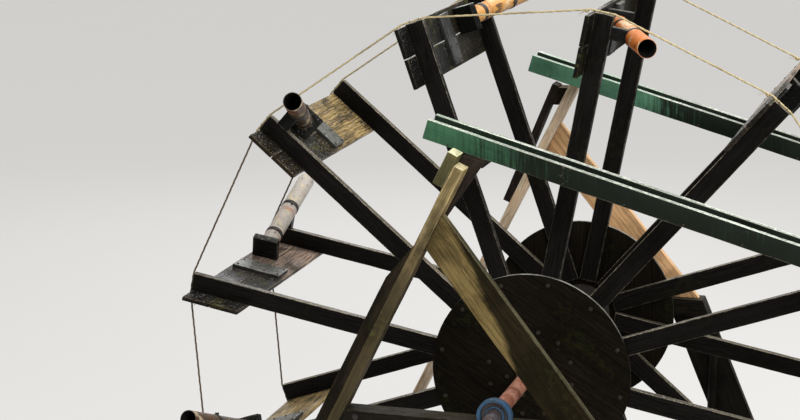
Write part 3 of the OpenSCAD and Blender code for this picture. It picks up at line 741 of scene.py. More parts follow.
class Bench:
    """Ways to model a piece by edit-mode operators."""

    @staticmethod
    def clear() -> None:
        """Goes to object mode with nothing selected."""
        if bpy.context.object and bpy.context.object.mode != "OBJECT":
            bpy.ops.object.mode_set(mode="OBJECT")
        bpy.ops.object.select_all(action="DESELECT")

    @staticmethod
    def take(*pieces: Piece) -> None:
        """Selects only some pieces and makes the first of them active."""
        Bench.clear()
        for piece in pieces:
            piece.select_set(True)
        bpy.context.view_layer.objects.active = pieces[0]

    @staticmethod
    def link(name: str, data: object) -> Piece:
        """A new object in the scene."""
        made = bpy.data.objects.new(name, data)
        bpy.context.scene.collection.objects.link(made)
        return made

    @staticmethod
    @contextmanager
    def editing(piece: Piece) -> Iterator[None]:
        """Keeps one piece in edit mode, with all of it selected at first, and then leaves edit mode.

        Args:
            piece: The piece.

        Yields:
            Nothing.
        """
        Bench.take(piece)
        bpy.ops.object.mode_set(mode="EDIT")
        bpy.ops.mesh.select_all(action="SELECT")
        yield
        bpy.ops.object.mode_set(mode="OBJECT")

    @staticmethod
    def pick(piece: Piece, kind: str, wanted: Callable[[object], bool]) -> int:
        """Selects only the faces, edges or points that a test wants, in edit mode.

        Args:
            piece: The piece in edit mode.
            kind: FACE, EDGE or VERT.
            wanted: The test.

        Returns:
            How many were selected.
        """
        bpy.ops.mesh.select_mode(type=kind)
        bpy.ops.mesh.select_all(action="DESELECT")
        mesh = bmesh.from_edit_mesh(piece.data)
        found = [part for part in {"FACE": mesh.faces, "EDGE": mesh.edges, "VERT": mesh.verts}[kind] if wanted(part)]
        for part in found:
            part.select_set(True)
        bmesh.update_edit_mesh(piece.data)
        return len(found)

    @staticmethod
    def start(shape: Callable[..., object], **options: object) -> Piece:
        """Starts a piece as one of the plain shapes.

        Args:
            shape: The operator that adds the shape.
            **options: The operator's options.

        Returns:
            The piece.
        """
        Bench.clear()
        shape(**options)
        return bpy.context.object

    @staticmethod
    def cylinder(sides: int, radius: float, depth: float, place: Triple = (0, 0, 0),
                 **options: object) -> Piece:
        """Starts a piece as a cylinder about its middle."""
        return Bench.start(bpy.ops.mesh.primitive_cylinder_add, vertices=sides, radius=radius, depth=depth,
                           location=place, **options)

    @staticmethod
    def ring(sides: int, radius: float, depth: float, wall: float, edge: float, y: float) -> Piece:
        """Models a ring round the axle.

        Args:
            sides: How many sides it has.
            radius: Its outer radius.
            depth: Its length along the axle.
            wall: The thickness of its wall.
            edge: The width of its bevelled edges.
            y: The place of its middle along the axle.

        Returns:
            The ring.
        """
        made = Bench.cylinder(sides, radius, depth, PLAN.from_axle(0, y, 0), end_fill_type="NOTHING",
                              rotation=(QUARTER_TURN, 0, 0))
        for kind, settings in (("SOLIDIFY", {"thickness": wall, "offset": -1.0}),
                               ("BEVEL", {"width": edge, "segments": 2, "limit_method": "ANGLE"})):
            modifier = made.modifiers.new(kind.lower(), kind)
            for option, value in settings.items():
                setattr(modifier, option, value)
            bpy.ops.object.modifier_apply(modifier=modifier.name)
        return made

    @staticmethod
    def settle(piece: Piece, name: str, angle: float = 35.0) -> Piece:
        """Names a piece, moves its place into its mesh and smooths its round faces.

        Args:
            piece: The piece.
            name: Its name.
            angle: Edges sharper than this stay sharp, in degrees.

        Returns:
            The piece.
        """
        Bench.take(piece)
        bpy.ops.object.transform_apply(location=True, rotation=True, scale=True)
        bpy.ops.object.shade_smooth_by_angle(angle=math.radians(angle))
        piece.name = name
        piece.data.name = name
        return piece

    @staticmethod
    def join(pieces: Sequence[Piece], name: str) -> Piece:
        """Joins pieces into one.

        Args:
            pieces: The pieces, at least two.
            name: The joined piece's name.

        Returns:
            The joined piece.
        """
        Bench.take(*pieces)
        bpy.ops.object.join()
        return Bench.settle(pieces[0], name)

    @staticmethod
    def repeat(template: Piece, places: Iterable[Matrix], name: str) -> Piece:
        """Copies a template to many places, each with its own mesh, and joins the copies.

        Args:
            template: The piece that is copied, which is then deleted.
            places: Where each copy goes.
            name: The joined piece's name.

        Returns:
            The joined piece.
        """
        copies = []
        for place in places:
            mesh = template.data.copy()
            mesh.transform(place)
            if place.determinant() < 0:
                mesh.flip_normals()
            copies.append(Bench.link(name, mesh))
        bpy.data.objects.remove(template)
        return Bench.join(copies, name)


def aim(point: Triple, normal: Triple, spin: float = 0.0) -> Matrix:
    """A place whose Z axis is a surface's normal, spun about it by some degrees."""
    turn = Vector(normal).normalized().to_track_quat("Z", "Y").to_matrix().to_4x4()
    return Matrix.Translation(point) @ turn @ Matrix.Rotation(math.radians(spin), 4, "Z")


_MATERIALS: dict[str, Material] = {}


def coat(piece: Piece, finish: Finish) -> None:
    """Gives a piece its finish, whose material is made the first time it is asked for.

    Args:
        piece: The piece, or a CAD node that stays.
        finish: The finish.
    """
    if finish.name not in _MATERIALS:
        _MATERIALS[finish.name] = finish.material()
    piece.data.materials.clear()
    piece.data.materials.append(_MATERIALS[finish.name])
    LOG.info("%s: %d faces in %s", piece.name, len(piece.data.polygons), finish.name)


def hand_over(piece: Piece, body: Body, finish: Finish, *nodes: str) -> None:
    """Gives a piece its finish, its body and the CAD nodes that it stands for.

    Args:
        piece: The piece.
        body: The body that it rides on.
        finish: The finish.
        *nodes: The CAD nodes that it replaces.
    """
    coat(piece, finish)
    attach(piece, body.value)
    if nodes:
        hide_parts(*nodes)


@dataclass
class SolidCopy:
    """A CAD node's solids with softened edges, chips and each solid's own coordinates for its grain."""

    node: str
    body: Body
    finish: Finish
    bevel: float = 0.0025
    step: float = 0.06
    chip: float = 0.0015
    ripple: float = 0.0006
    seed: int = 1
    tones: Callable[[Vector], Colour] | None = None
    copy: Piece = field(init=False, default=None)

    def build(self) -> None:
        """Builds the piece and hands it over."""
        name = self.node + "_dressed"
        self.copy = Bench.link(name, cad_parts[self.node].data.copy())
        with Bench.editing(self.copy):
            bpy.ops.mesh.remove_doubles(threshold=MERGE_DISTANCE)
            bpy.ops.mesh.dissolve_limited(angle_limit=FLAT_ANGLE)
        self.store_grain()
        with Bench.editing(self.copy):
            self.cut_lengths()
            self.soften_edges()
        if self.ripple or self.chip:
            self.weather()
        hand_over(Bench.settle(self.copy, name, 28.0), self.body, self.finish, self.node)

    def cut_lengths(self) -> None:
        """Cuts the long edges into steps, so that the weathering has points to move."""
        longest = max(edge.calc_length() for edge in bmesh.from_edit_mesh(self.copy.data).edges)
        if longest < 4 * self.step:
            return
        if Bench.pick(self.copy, "EDGE", lambda edge: edge.calc_length() > LONG_SHARE * longest):
            bpy.ops.mesh.subdivide(number_cuts=max(1, round(longest / self.step)))

    def soften_edges(self) -> None:
        """Bevels every sharp edge."""
        bpy.ops.mesh.select_mode(type="EDGE")
        bpy.ops.mesh.select_all(action="DESELECT")
        bpy.ops.mesh.edges_select_sharp(sharpness=SHARP_ANGLE)
        bpy.ops.mesh.bevel(offset=self.bevel, segments=2, affect="EDGES", clamp_overlap=True)

    def read(self, what: str) -> np.ndarray:
        """The points' co or normal, one row for each."""
        points = self.copy.data.vertices
        values = np.empty(len(points) * 3)
        points.foreach_get(what, values)
        return values.reshape(-1, 3)

    def islands(self) -> list[np.ndarray]:
        """The points of each separate solid.

        Returns:
            One array of point numbers for each solid.
        """
        mesh = self.copy.data
        ends = np.empty(len(mesh.edges) * 2, np.int64)
        mesh.edges.foreach_get("vertices", ends)
        ends = ends.reshape(-1, 2)
        label = np.arange(len(mesh.vertices))
        while True:
            least = np.minimum(label[ends[:, 0]], label[ends[:, 1]])
            new = label.copy()
            np.minimum.at(new, ends[:, 0], least)
            np.minimum.at(new, ends[:, 1], least)
            new = new[new]
            if (new == label).all():
                break
            label = new
        return [np.flatnonzero(label == one) for one in np.unique(label)]

    def directions(self, solids: Sequence[np.ndarray]) -> list[tuple[Vector, Vector]]:
        """Each solid's directions along its longest edge and out of its widest face.

        Args:
            solids: The points of each solid.

        Returns:
            The two directions of each solid.
        """
        mesh = self.copy.data
        owner = np.zeros(len(mesh.vertices), np.int64)
        for number, points in enumerate(solids):
            owner[points] = number
        longest = [(0.0, Vector((1, 0, 0)))] * len(solids)
        for edge in mesh.edges:
            first, second = (mesh.vertices[i].co for i in edge.vertices)
            span = second - first
            number = owner[edge.vertices[0]]
            if span.length > longest[number][0] + 1e-5:
                longest[number] = (span.length, span.normalized())
        widest = [(0.0, Vector((0, 0, 1)))] * len(solids)
        for face in mesh.polygons:
            number = owner[face.vertices[0]]
            if face.area > widest[number][0] + 1e-7 and abs(face.normal.dot(longest[number][1])) < 0.3:
                widest[number] = (face.area, face.normal.copy())
        return [(edge[1], face[1]) for edge, face in zip(longest, widest)]

    def store_grain(self) -> None:
        """Stores each solid's own coordinates, half sizes, seed and tone on its points."""
        where = self.read("co")
        count = len(where)
        board, half = np.zeros((count, 3)), np.zeros((count, 3))
        seeds, tones = np.zeros(count), np.ones((count, 4))
        solids = self.islands()
        chance = random.Random(self.seed)
        for points, (along, face) in zip(solids, self.directions(solids)):
            out = (face - along * along.dot(face)).normalized()
            axes = np.array([along, out.cross(along), out])
            own = where[points] @ axes.T
            low, high = own.min(0), own.max(0)
            middle = (high + low) / 2
            board[points] = own - middle
            half[points] = (high - low) / 2
            seeds[points] = chance.random()
            if self.tones:
                tones[points, :3] = self.tones(Vector(axes.T @ middle))
        for name, kind, item, values in (("board", "FLOAT_VECTOR", "vector", board),
                                         ("half", "FLOAT_VECTOR", "vector", half),
                                         ("seed", "FLOAT", "value", seeds), ("tone", "FLOAT_COLOR", "color", tones)):
            layer = self.copy.data.attributes.new(name, kind, "POINT")
            layer.data.foreach_set(item, values.astype(np.float32).ravel())

    def weather(self) -> None:
        """Moves the points a little, within the CAD solids' box: a slow ripple, and chips along the edges."""
        where, out = self.read("co"), self.read("normal")
        shift = Vector((self.seed, 0, 0))
        depth = np.array([self.ripple * noise.noise(Vector(spot) * RIPPLE_SCALE)
                          + self.chip * max(0.0, noise.noise(Vector(spot) * CHIP_SCALE + shift)) for spot in where])
        low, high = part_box(self.node)
        self.copy.data.vertices.foreach_set("co", np.clip(where - out * depth[:, None], low, high).ravel())
        self.copy.data.update()


def machined(node: str, body: Body, finish: Finish, bevel: float, **more: object) -> None:
    """Dresses a CAD node that keeps its true surface, with only its edges softened."""
    SolidCopy(node, body, finish, bevel, **{"step": 5.0, "chip": 0.0, "ripple": 0.0, **more}).build()


def by_arm(*palette: Colour) -> Callable[[Vector], Colour]:
    """Picks one of twelve colours by the arm that carries a piece's middle."""
    return lambda place: palette[PLAN.nearest_arm(place)]


@dataclass
class WheelTimber:
    """Arms, hub discs, paddles, battens, end blocks and saddles."""

    ochre: Colour = tint(206, 176, 118)
    plum: Colour = tint(206, 178, 158)
    black: Colour = tint(40, 38, 26)
    brown: Colour = tint(132, 110, 80)

    def build(self) -> None:
        """Builds the wheel's wooden pieces."""
        tones = by_arm(self.brown, self.plum, self.black, self.black, self.ochre, self.plum,
                       self.ochre, self.brown, self.black, self.brown, self.ochre, self.plum)
        for seed, node in enumerate(("arms_near", "arms_far")):
            SolidCopy(node, Body.WHEEL, WET_ARM, seed=seed).build()
        machined("hub_discs", Body.WHEEL, WET_DISC, 0.002, step=0.06, seed=3)
        for seed, node in enumerate(("paddle_boards_inner", "paddle_boards_outer"), 4):
            SolidCopy(node, Body.WHEEL, WET_PADDLE, bevel=0.002, chip=0.002, seed=seed, tones=tones).build()
        SolidCopy("paddle_battens", Body.WHEEL, WET_BATTEN, bevel=0.003, step=0.03, seed=6).build()
        SolidCopy("pipe_blocks", Body.WHEEL, WET_BLOCK, bevel=0.002, step=0.025, seed=7).build()
        machined("pipe_saddles", Body.WHEEL, WET_BLOCK, 0.0015, step=0.5, seed=8)


@dataclass
class LiftingPipes:
    """The pipes with their stains, and the screws that close their straps.

    clamps gives each clamp's distance along its pipe and its angle round it, in degrees.
    """

    cream: Colour = tint(190, 182, 172)
    orange: Colour = tint(206, 116, 46)
    tan: Colour = tint(204, 148, 78)
    grey: Colour = tint(78, 62, 48)
    clamps: tuple[tuple[float, float], ...] = ((0.142, 80.0), (0.3804, 250.0))
    clamp_rise: float = 0.0065
    clamp_radius: float = 0.005
    clamp_length: float = 0.026
    clamp_rim: float = 0.0015
    clamp_foot: float = 0.004

    def build(self) -> None:
        """Builds the pipes, their straps and the small screw housing that closes each strap."""
        tones = by_arm(self.orange, self.cream, self.orange, self.tan, self.grey, self.cream,
                       self.grey, self.tan, self.cream, self.orange, self.tan, self.cream)
        for seed, node in enumerate(("pipes_near", "pipes_far")):
            machined(node, Body.WHEEL, ScaledPipe(), 0.0008, seed=seed, tones=tones)
        machined("pipe_straps", Body.WHEEL, DARK_STEEL, 0.0005)
        places = []
        for index in range(PLAN.arm_count):
            for along, angle in self.clamps:
                turn = math.radians(angle)
                out = Vector((math.cos(turn), math.sin(turn), 0))
                spot = Vector((0, 0, along)) + out * (PLAN.pipe_radius + self.clamp_rise)
                places.append(PLAN.pipe(index) @ aim(spot, out, 90))
        hand_over(Bench.repeat(self.housing(), places, "strap_clamps"), Body.WHEEL, DARK_STEEL)

    def housing(self) -> Piece:
        """Models a screw housing with a sunk slot end.

        Returns:
            The template, with the screw along X.
        """
        made = Bench.cylinder(14, self.clamp_radius, self.clamp_length, rotation=(0, QUARTER_TURN, 0))
        with Bench.editing(made):
            Bench.pick(made, "FACE", lambda face: face.normal.z < -0.9)
            bpy.ops.mesh.inset(thickness=self.clamp_rim, depth=-0.001)
            bpy.ops.mesh.extrude_region_move(TRANSFORM_OT_translate={"value": (0, 0, self.clamp_foot)})
        return Bench.settle(made, "clamp")


@dataclass
class Fastener:
    """A hexagon bolt head on a washer, or a round screw head.

    bevel_share is how far a bolt's face is drawn in and raised, and the other shares shape a screw's head: how far
    its face is drawn in and raised, and then drawn in again and sunk. All are shares of the radius or the height.
    """

    radius: float
    height: float
    washer: float = 0.0
    washer_height: float = 0.0025
    bevel_share: float = 0.16
    dome_share: float = 0.35
    dome_rise: float = 0.5
    slot_share: float = 0.3
    slot_sink: float = 0.25

    def domed(self, sides: int, radius: float, height: float, foot: float, inset: float, rise: float,
              slot: float = 0.0, sink: float = 0.0) -> Piece:
        """Models a disc whose upper face is drawn in and raised, and drawn in again and sunk where it has a slot.

        Args:
            sides: How many sides it has.
            radius: Its radius.
            height: Its height before it is raised.
            foot: How high its foot lies.
            inset: How far its upper face is drawn in.
            rise: How far that face is raised.
            slot: How far it is then drawn in again.
            sink: How far the slot is sunk.

        Returns:
            The disc.
        """
        made = Bench.cylinder(sides, radius, height, (0, 0, foot + height / 2))
        with Bench.editing(made):
            Bench.pick(made, "FACE", faces_up)
            bpy.ops.mesh.inset(thickness=inset)
            bpy.ops.transform.translate(value=(0, 0, rise))
            if slot:
                bpy.ops.mesh.inset(thickness=slot, depth=-sink)
        return made

    def bolt(self) -> Piece:
        """Models the bolt head, with its foot at the origin.

        Returns:
            The template.
        """
        head = self.domed(6, self.radius, self.height, self.washer_height, self.radius * self.bevel_share,
                          self.height * self.bevel_share)
        ring = self.domed(16, self.washer, self.washer_height, 0.0, self.washer * 0.12, 0.0006)
        return Bench.join([head, ring], "bolt")

    def screw(self) -> Piece:
        """Models a domed screw head, with its foot at the origin.

        Returns:
            The template.
        """
        head = self.domed(10, self.radius, self.height, 0.0, self.radius * self.dome_share,
                          self.height * self.dome_rise, self.radius * self.slot_share,
                          self.height * self.slot_sink)
        return Bench.settle(head, "screw")


@dataclass
class Hub:
    """Shaft, flanges, the collars that clamp the shaft, and the bolts through the hub discs."""

    bolt_radii: tuple[float, float] = (0.440, 0.205)
    flange_bolts: int = 6
    flange_radius: float = 0.115
    flange_turn: float = 12.0
    collar_radius: float = 0.064
    collar_depth: float = 0.024
    collar_wall: float = 0.0274

    def build(self) -> None:
        """Builds the hub's pieces."""
        coat(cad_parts["shaft_pipe"], RUSTY_SHAFT)
        machined("shaft_bars", Body.WHEEL, BARE_STEEL, 0.003)
        coat(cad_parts["hub_flanges"], DARK_STEEL)
        for side in Side:
            face = side.value * (PLAN.half_width + PLAN.disc_thickness)
            places = [PLAN.arm(index) @ aim((radius, face, 0.002 * math.sin(index)), side.way,
                                            17.0 * index + 31.0 * radius)
                      for index in range(PLAN.arm_count) for radius in self.bolt_radii]
            for index in range(self.flange_bolts):
                turn = math.radians(index * 360 / self.flange_bolts + self.flange_turn)
                spot = PLAN.from_axle(self.flange_radius * math.cos(turn), face, self.flange_radius * math.sin(turn))
                places.append(aim(spot, side.way, 9.0 * index))
            bolts = Bench.repeat(Fastener(0.0075, 0.0055, 0.0105).bolt(), places, f"disc_bolts_{side.name.lower()}")
            hand_over(bolts, Body.WHEEL, WET_STEEL)
        middle = PLAN.half_width + PLAN.disc_thickness + self.collar_depth / 2
        rings = [Bench.ring(40, self.collar_radius, self.collar_depth, self.collar_wall, 0.002, side.value * middle)
                 for side in Side]
        hand_over(Bench.join(rings, "shaft_collars"), Body.WHEEL, DARK_STEEL)


@dataclass
class PaddleScrews:
    """Screw heads that hold the paddle boards to the arms and to the battens."""

    offsets: tuple[float, float] = (-0.04, 0.035)
    half_gap: float = 0.002
    inset: float = 0.022
    arm_stray: float = 0.004
    batten_stray: float = 0.003

    def build(self) -> None:
        """Builds the screw heads."""
        places = []
        back = PLAN.arm_width / 2 + PLAN.board_thickness
        front = PLAN.arm_width / 2 - PLAN.batten_thickness
        for index in range(PLAN.arm_count):
            arm = PLAN.arm(index)
            for board in (-1, 1):
                for off in self.offsets:
                    reach = PLAN.paddle_middle + board * (PLAN.board_width / 2 + self.half_gap) + off
                    for across in (-1, 1):
                        y = across * PLAN.plank_middle + self.arm_stray * math.sin(index + off * 90)
                        places.append(arm @ aim((reach, y, back), (0, 0, 1), 40.0 * index))
                    for across in (-1, 1):
                        y = across * (PLAN.batten_half - self.inset) + self.batten_stray * board
                        places.append(arm @ aim((reach, y, front), (0, 0, -1)))
        hand_over(Bench.repeat(Fastener(0.006, 0.0022).screw(), places, "paddle_screws"), Body.WHEEL, DARK_STEEL)


@dataclass
class RimRopes:
    """Twisted ropes round the arms' ends, with their knots, frayed ends and staples."""

    sides: int = 12
    step: float = 0.006
    pitch: float = 0.042
    lobe: float = 0.0007
    stray: float = 0.0006
    knot_gap: float = 0.022
    knot_turns: tuple[tuple[float, float], ...] = ((28, -0.003), (-34, 0.004))
    turn_radius: float = 0.0056
    turn_thickness: float = 0.0034
    hairs: int = 7
    hair_foot: float = 0.0011
    hair_tip: float = 0.0003
    hair_length: float = 0.03
    staple_places: tuple[float, float] = (-0.022, 0.024)
    staple_radius: float = 0.0062
    wire_radius: float = 0.0014
    staple_legs: float = 0.0045

    def corners(self) -> list[Vector]:
        """The rope's corners in the wheel's plane, as X and Z from the axle.

        Returns:
            The corners in order.
        """
        found = []
        for index in range(PLAN.arm_count):
            angle = PLAN.arm_angle(index)
            for z in (-PLAN.arm_width / 2, PLAN.arm_width / 2 + PLAN.board_thickness):
                x = PLAN.rope_line
                found.append(Vector((x * math.cos(angle) - z * math.sin(angle), 0.0,
                                     x * math.sin(angle) + z * math.cos(angle))))
        return found

    def strand(self, y: float, name: str) -> Piece:
        """Sweeps the three-stranded rope along its corners.

        Args:
            y: The rope's place along the axle.
            name: The piece's name.

        Returns:
            The rope.
        """
        corners = self.corners()
        centre = PLAN.from_axle(0, y, 0)
        path = []
        for first, second in zip(corners, corners[1:] + corners[:1]):
            count = max(2, round((second - first).length / self.step))
            path += [first.lerp(second, k / count) for k in range(count)]
        points, travelled = [], 0.0
        length = sum((b - a).length for a, b in zip(path, path[1:] + path[:1]))
        turns = round(length / self.pitch)
        for number, spot in enumerate(path):
            ahead, behind = path[(number + 1) % len(path)], path[number - 1]
            run = (ahead - behind).normalized()
            out = Vector((run.z, 0, -run.x))
            if number:
                travelled += (spot - behind).length
            twist = 2 * math.pi * turns * travelled / length
            wander = self.stray * noise.noise(spot * 9.0)
            for k in range(self.sides):
                around = 2 * math.pi * k / self.sides
                reach = PLAN.rope_radius - self.lobe + self.lobe * math.cos(3 * around - twist)
                points.append(centre + spot + out * (math.cos(around) * reach + wander)
                              + Vector((0, math.sin(around) * reach, 0)))
        rings = len(path)
        faces = []
        for ring in range(rings):
            here, after = ring * self.sides, (ring + 1) % rings * self.sides
            for k in range(self.sides):
                faces.append((here + k, after + k, after + (k + 1) % self.sides, here + (k + 1) % self.sides))
        mesh = bpy.data.meshes.new(name)
        mesh.from_pydata(points, [], faces)
        rope = Bench.link(name, mesh)
        with Bench.editing(rope):
            bpy.ops.mesh.normals_make_consistent(inside=False)
        return Bench.settle(rope, name, 60.0)

    def knot(self) -> Piece:
        """Models a knot of two crossing turns with a tuft of loose ends.

        Returns:
            The template, with the rope along X and the tuft towards +X.
        """
        parts = []
        for tilt, across in self.knot_turns:
            turn = Bench.start(bpy.ops.mesh.primitive_torus_add, major_radius=self.turn_radius,
                               minor_radius=self.turn_thickness, major_segments=14, minor_segments=8,
                               location=(across, 0, -0.0045), rotation=(0, QUARTER_TURN, math.radians(tilt)))
            with Bench.editing(turn):
                Bench.pick(turn, "VERT", lambda point: point.co.x > 0.004)
                bpy.ops.transform.resize(value=(1.25, 0.85, 1.0))
            parts.append(turn)
        chance = random.Random(11)
        foot = Matrix.Translation((0.006, 0, 0)) @ Matrix.Rotation(QUARTER_TURN, 4, "Y")
        for _ in range(self.hairs):
            hair = Bench.start(bpy.ops.mesh.primitive_cone_add, vertices=5, radius1=self.hair_foot,
                               radius2=self.hair_tip, depth=self.hair_length)
            with Bench.editing(hair):
                Bench.pick(hair, "FACE", faces_up)
                bend = (chance.uniform(-0.004, 0.004), 0.004, 0.012)
                bpy.ops.mesh.extrude_region_move(TRANSFORM_OT_translate={"value": bend})
            lean = Matrix.Rotation(math.radians(chance.uniform(6, 48)), 4, "Y")
            roll = Matrix.Rotation(math.radians(chance.uniform(-30, 30)), 4, "X")
            hair.data.transform(foot @ lean @ roll @ Matrix.Translation((0, 0, 0.014)))
            parts.append(hair)
        return Bench.join(parts, "knot")

    def staple(self) -> Piece:
        """Models a wire staple over the rope, with its legs in the arm's end.

        Returns:
            The template, with the arm's end at its origin and the rope along Z.
        """
        wire = Bench.start(bpy.ops.mesh.primitive_torus_add, major_radius=self.staple_radius,
                           minor_radius=self.wire_radius, major_segments=20, minor_segments=8)
        with Bench.editing(wire):
            bpy.ops.mesh.bisect(plane_co=(0, 0, 0), plane_no=(1, 0, 0), clear_inner=True)
            Bench.pick(wire, "EDGE", lambda edge: all(abs(p.co.x) < 1e-5 for p in edge.verts))
            bpy.ops.mesh.extrude_region_move(TRANSFORM_OT_translate={"value": (-self.staple_legs, 0, 0)})
        return Bench.settle(wire, "staple")

    def build(self) -> None:
        """Builds both ropes with their knots and staples."""
        corners = self.corners()
        for side in Side:
            word, y = side.name.lower(), side.value * PLAN.plank_middle
            rope = self.strand(y, f"rim_rope_{word}_twisted")
            places = []
            for index in range(PLAN.arm_count):
                near, after = corners[2 * index + 1], corners[(2 * index + 2) % len(corners)]
                run = (after - near).normalized()
                out = Vector((run.z, 0, -run.x))
                turn = Matrix((run, Vector((0, 1, 0)), out)).transposed().to_4x4()
                spot = Vector(PLAN.axle) + near + run * self.knot_gap + Vector((0, y, 0))
                places.append(Matrix.Translation(spot) @ turn)
            hand_over(Bench.repeat(self.knot(), places, f"rope_knots_{word}"), Body.WHEEL, Twine())
            hand_over(rope, Body.WHEEL, Twine(), f"rim_rope_{word}")
            places = [PLAN.arm(index) @ Matrix.Translation((PLAN.rope_line - 0.0002, y, z))
                      for index in range(PLAN.arm_count) for z in self.staple_places]
            hand_over(Bench.repeat(self.staple(), places, f"rope_staples_{word}"), Body.WHEEL, DARK_STEEL)


@dataclass
class StandTimber:
    """Legs, braces, beams, props, rails and sills of the standing frame."""

    finishes: dict[str, Timber] = field(default_factory=lambda: {
        "leg_near": LEG_WOOD, "leg_top_block": BLOCK_WOOD, "leg_doubler_near": DOUBLER_WOOD,
        "strut_near": STRUT_WOOD, "brace_near": BRACE_WOOD, "beam_near": DARK_WOOD, "lower_leg_near": DARK_WOOD,
        "base_rail_near": DARK_WOOD, "leg_far": PAINTED_SUNLIT_FAR_LEG_WOOD, "leg_doubler_far": STRUT_WOOD,
        "leg_wedge": DOUBLER_WOOD, "brace_far": PAINTED_SUNLIT_FAR_BRACE_WOOD, "beam_far": DARK_WOOD, "lower_leg_far": DARK_WOOD,
        "base_rail_far": DARK_WOOD, "stakes": DARK_WOOD, "trough_bearers": DARK_WOOD, "trough_props": DARK_WOOD,
        "cross_sills": DARK_WOOD})

    def build(self) -> None:
        """Builds the frame's wooden pieces."""
        for seed, (node, finish) in enumerate(self.finishes.items(), 20):
            bevel, ripple = (0.0015, 0.002) if node == "stakes" else (0.003, 0.001)
            SolidCopy(node, Body.FRAME, finish, bevel, step=0.09, chip=0.0025, ripple=ripple, seed=seed).build()


@dataclass
class Troughs:
    """The two sloping troughs: painted boards and the nails along them."""

    fall: float = 15.7
    high_end: tuple[float, float] = (-0.457, 3.0934887)
    length: float = 2.438
    nail_depth: float = 0.078
    outer: float = 1.102
    inner: float = 0.934
    nail_step: float = 0.30
    end_gap: float = 0.12

    def point(self, along: float, y: float) -> Vector:
        """A point on a trough's line of nails, at some distance from the trough's high end."""
        turn = math.radians(self.fall)
        return Vector((self.high_end[0] + along * math.cos(turn) - self.nail_depth * math.sin(turn), y,
                       self.high_end[1] - along * math.sin(turn) - self.nail_depth * math.cos(turn)))

    def build(self) -> None:
        """Builds the boards and the nail heads."""
        for seed, (node, paint) in enumerate((("trough_sides_near", GREEN_NEAR), ("trough_sides_far", GREEN_FAR),
                                              ("trough_floor_near", GREEN_NEAR), ("trough_floor_far", GREEN_FAR)), 50):
            SolidCopy(node, Body.FRAME, paint, bevel=0.002, step=0.07, seed=seed).build()
        places = []
        count = int(self.length / self.nail_step)
        for side in Side:
            for number in range(count + 1):
                along = self.end_gap + number * (self.length - 2 * self.end_gap) / count
                wobble = 0.006 * math.sin(number * 2.3)
                for y, way in ((self.outer, 1), (self.inner, -1)):
                    places.append(aim(self.point(along + wobble, side.value * y), (0, side.value * way, 0)))
        hand_over(Bench.repeat(Fastener(0.0045, 0.0015).screw(), places, "trough_nails"), Body.FRAME, DARK_STEEL)


@dataclass
class Bearings:
    """Finish of the bearings, with the grey covers of their races and the bolts of their plates."""

    plate_face: float = 1.271
    bolt_x: float = 0.052
    bolt_heights: tuple[float, float] = (-0.105, -0.128)
    cover_middle: float = 1.291
    cover_radius: float = 0.0645
    cover_depth: float = 0.006
    cover_wall: float = 0.020

    def build(self) -> None:
        """Builds the bearings' pieces."""
        coat(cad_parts["bearing_plates"], DARK_STEEL)
        machined("bearings", Body.FRAME, BLUE_IRON, 0.0018)
        covers = [Bench.ring(56, self.cover_radius, self.cover_depth, self.cover_wall, 0.0012,
                             side.value * self.cover_middle) for side in Side]
        hand_over(Bench.join(covers, "bearing_covers"), Body.FRAME, GREY_IRON)
        places = [aim(PLAN.from_axle(x, side.value * self.plate_face, z), side.way, 400 * x)
                  for side in Side for z in self.bolt_heights for x in (-self.bolt_x, self.bolt_x)]
        bolts = Bench.repeat(Fastener(0.0095, 0.007, 0.0105).bolt(), places, "plate_bolts")
        hand_over(bolts, Body.FRAME, DARK_STEEL)


@dataclass
class FrameBolts:
    """Bolts at the joints of the standing frame."""

    beam_face: float = 1.261
    beam_heights: tuple[float, ...] = (-0.075, -0.115)
    beam_places: tuple[float, ...] = (-0.66, 0.36, 0.50)
    leg_face: float = 1.256
    leg_heights: tuple[float, ...] = (-1.62, -1.50)
    leg_at_axle: float = -0.719
    leg_lean: float = 25.9

    def build(self) -> None:
        """Builds the bolts."""
        lean = math.tan(math.radians(self.leg_lean))
        places = []
        for side in Side:
            places += [aim(PLAN.from_axle(x, side.value * self.beam_face, z), side.way, 300 * x)
                       for z in self.beam_heights for x in self.beam_places]
            places += [aim(PLAN.from_axle(self.leg_at_axle + lean * z, side.value * self.leg_face, z), side.way, 90 * z)
                       for z in self.leg_heights]
        bolts = Bench.repeat(Fastener(0.0085, 0.006, 0.014).bolt(), places, "frame_bolts")
        hand_over(bolts, Body.FRAME, DARK_STEEL)


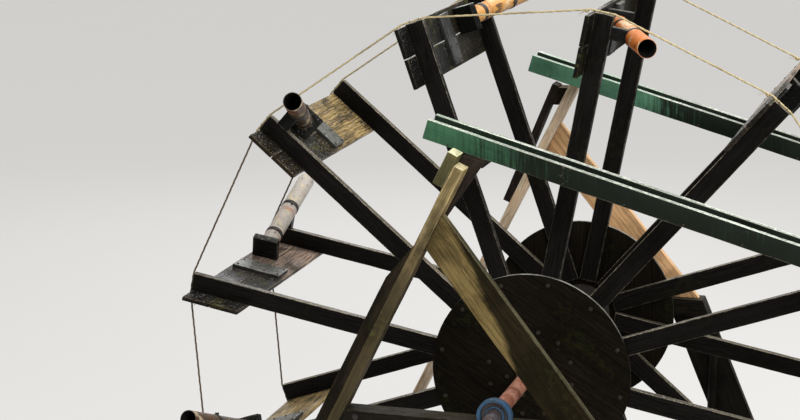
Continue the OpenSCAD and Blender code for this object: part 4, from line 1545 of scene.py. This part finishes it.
@dataclass
class Studio:
    """Floor, soft lights, world and the camera at the photograph's viewing angle.

    lamps gives each lamp's name, its place, the height of the place on the axis that it shines at, the side of its
    square in metres and its power in watts.
    """

    floor_size: float = 90.0
    floor_colour: Colour = (0.34, 0.337, 0.33)
    floor_cloud: Colour = (0.30, 0.30, 0.29)
    floor_glow: float = 0.44
    daylight: Colour = (1.0, 0.99, 0.97)
    ambient: float = 0.52
    backdrop: Colour = (0.64, 0.635, 0.62)
    lamps: tuple[tuple, ...] = (("sky_panel", (2.0, 2.5, 9.0), 1.6, 7.0, 620.0),
                                ("front_panel", (5.0, -8.5, 7.0), 1.8, 4.0, 800.0),
                                ("back_panel", (-4.0, 11.0, 6.0), 1.8, 4.0, 180.0))
    eye: tuple[float, float, float] = (2.179, -10.391, 4.8095)
    look: tuple[float, float, float] = (77.577, 0.0, 16.566)
    lens: float = 99.3
    sensor: float = 36.0
    farthest: float = 200.0

    def build(self) -> None:
        """Builds the studio."""
        self.floor()
        self.world()
        for name, place, height, size, power in self.lamps:
            data = bpy.data.lights.new(name, "AREA")
            data.size = size
            data.energy = power
            lamp = Bench.link(name, data)
            lamp.location = place
            lamp.rotation_euler = (Vector((0.0, 0.0, height)) - Vector(place)).to_track_quat("-Z", "Y").to_euler()
        camera = bpy.data.cameras.new("view")
        camera.lens = self.lens
        camera.sensor_width = self.sensor
        camera.clip_end = self.farthest
        view = Bench.link("view", camera)
        view.location = self.eye
        view.rotation_euler = tuple(math.radians(v) for v in self.look)
        bpy.context.scene.camera = view
        bpy.context.scene.view_settings.view_transform = "Standard"

    def floor(self) -> None:
        """Lays the pale floor, which glows a little where it is seen and still takes shadows."""
        floor = Bench.start(bpy.ops.mesh.primitive_plane_add, size=self.floor_size)
        floor.name = "floor"
        paint = Paint("studio_floor")
        cloud = paint.place().cloud(0.8, 3.0).band(0.3, 0.7, 0.0, 0.08)
        paint.feed(paint.shader.inputs["Emission Color"], self.daylight)
        paint.feed(paint.shader.inputs["Emission Strength"], paint.seen() * self.floor_glow)
        floor.data.materials.append(paint.finish(paint.mix(cloud, self.floor_colour, self.floor_cloud), 0.9, shine=0.1))

    def world(self) -> None:
        """Makes the world pale to the camera and in reflections, and plain as light."""
        world = bpy.data.worlds.new("studio")
        bpy.context.scene.world = world
        world.use_nodes = True
        nodes = Nodes(world.node_tree)
        light = world.node_tree.nodes["Background"]
        nodes.feed(light.inputs["Color"], self.daylight)
        nodes.feed(light.inputs["Strength"], self.ambient)
        backdrop = nodes.add("ShaderNodeBackground", {"Color": self.backdrop, "Strength": 1.0})
        shown = nodes.add("ShaderNodeMixShader", {0: nodes.seen(), 1: Signal(nodes, light.outputs[0]), 2: backdrop})
        nodes.feed(world.node_tree.nodes["World Output"].inputs["Surface"], shown)


def main() -> None:
    """Builds every piece in order."""
    logging.basicConfig(level=logging.INFO, format="%(message)s")
    for assembly in (WheelTimber(), LiftingPipes(), Hub(), PaddleScrews(), RimRopes(), StandTimber(), Troughs(),
                     Bearings(), FrameBolts(), Studio()):
        assembly.build()
        LOG.info("%s done", type(assembly).__name__)
    Bench.clear()


if __name__ == "__main__":
    main()
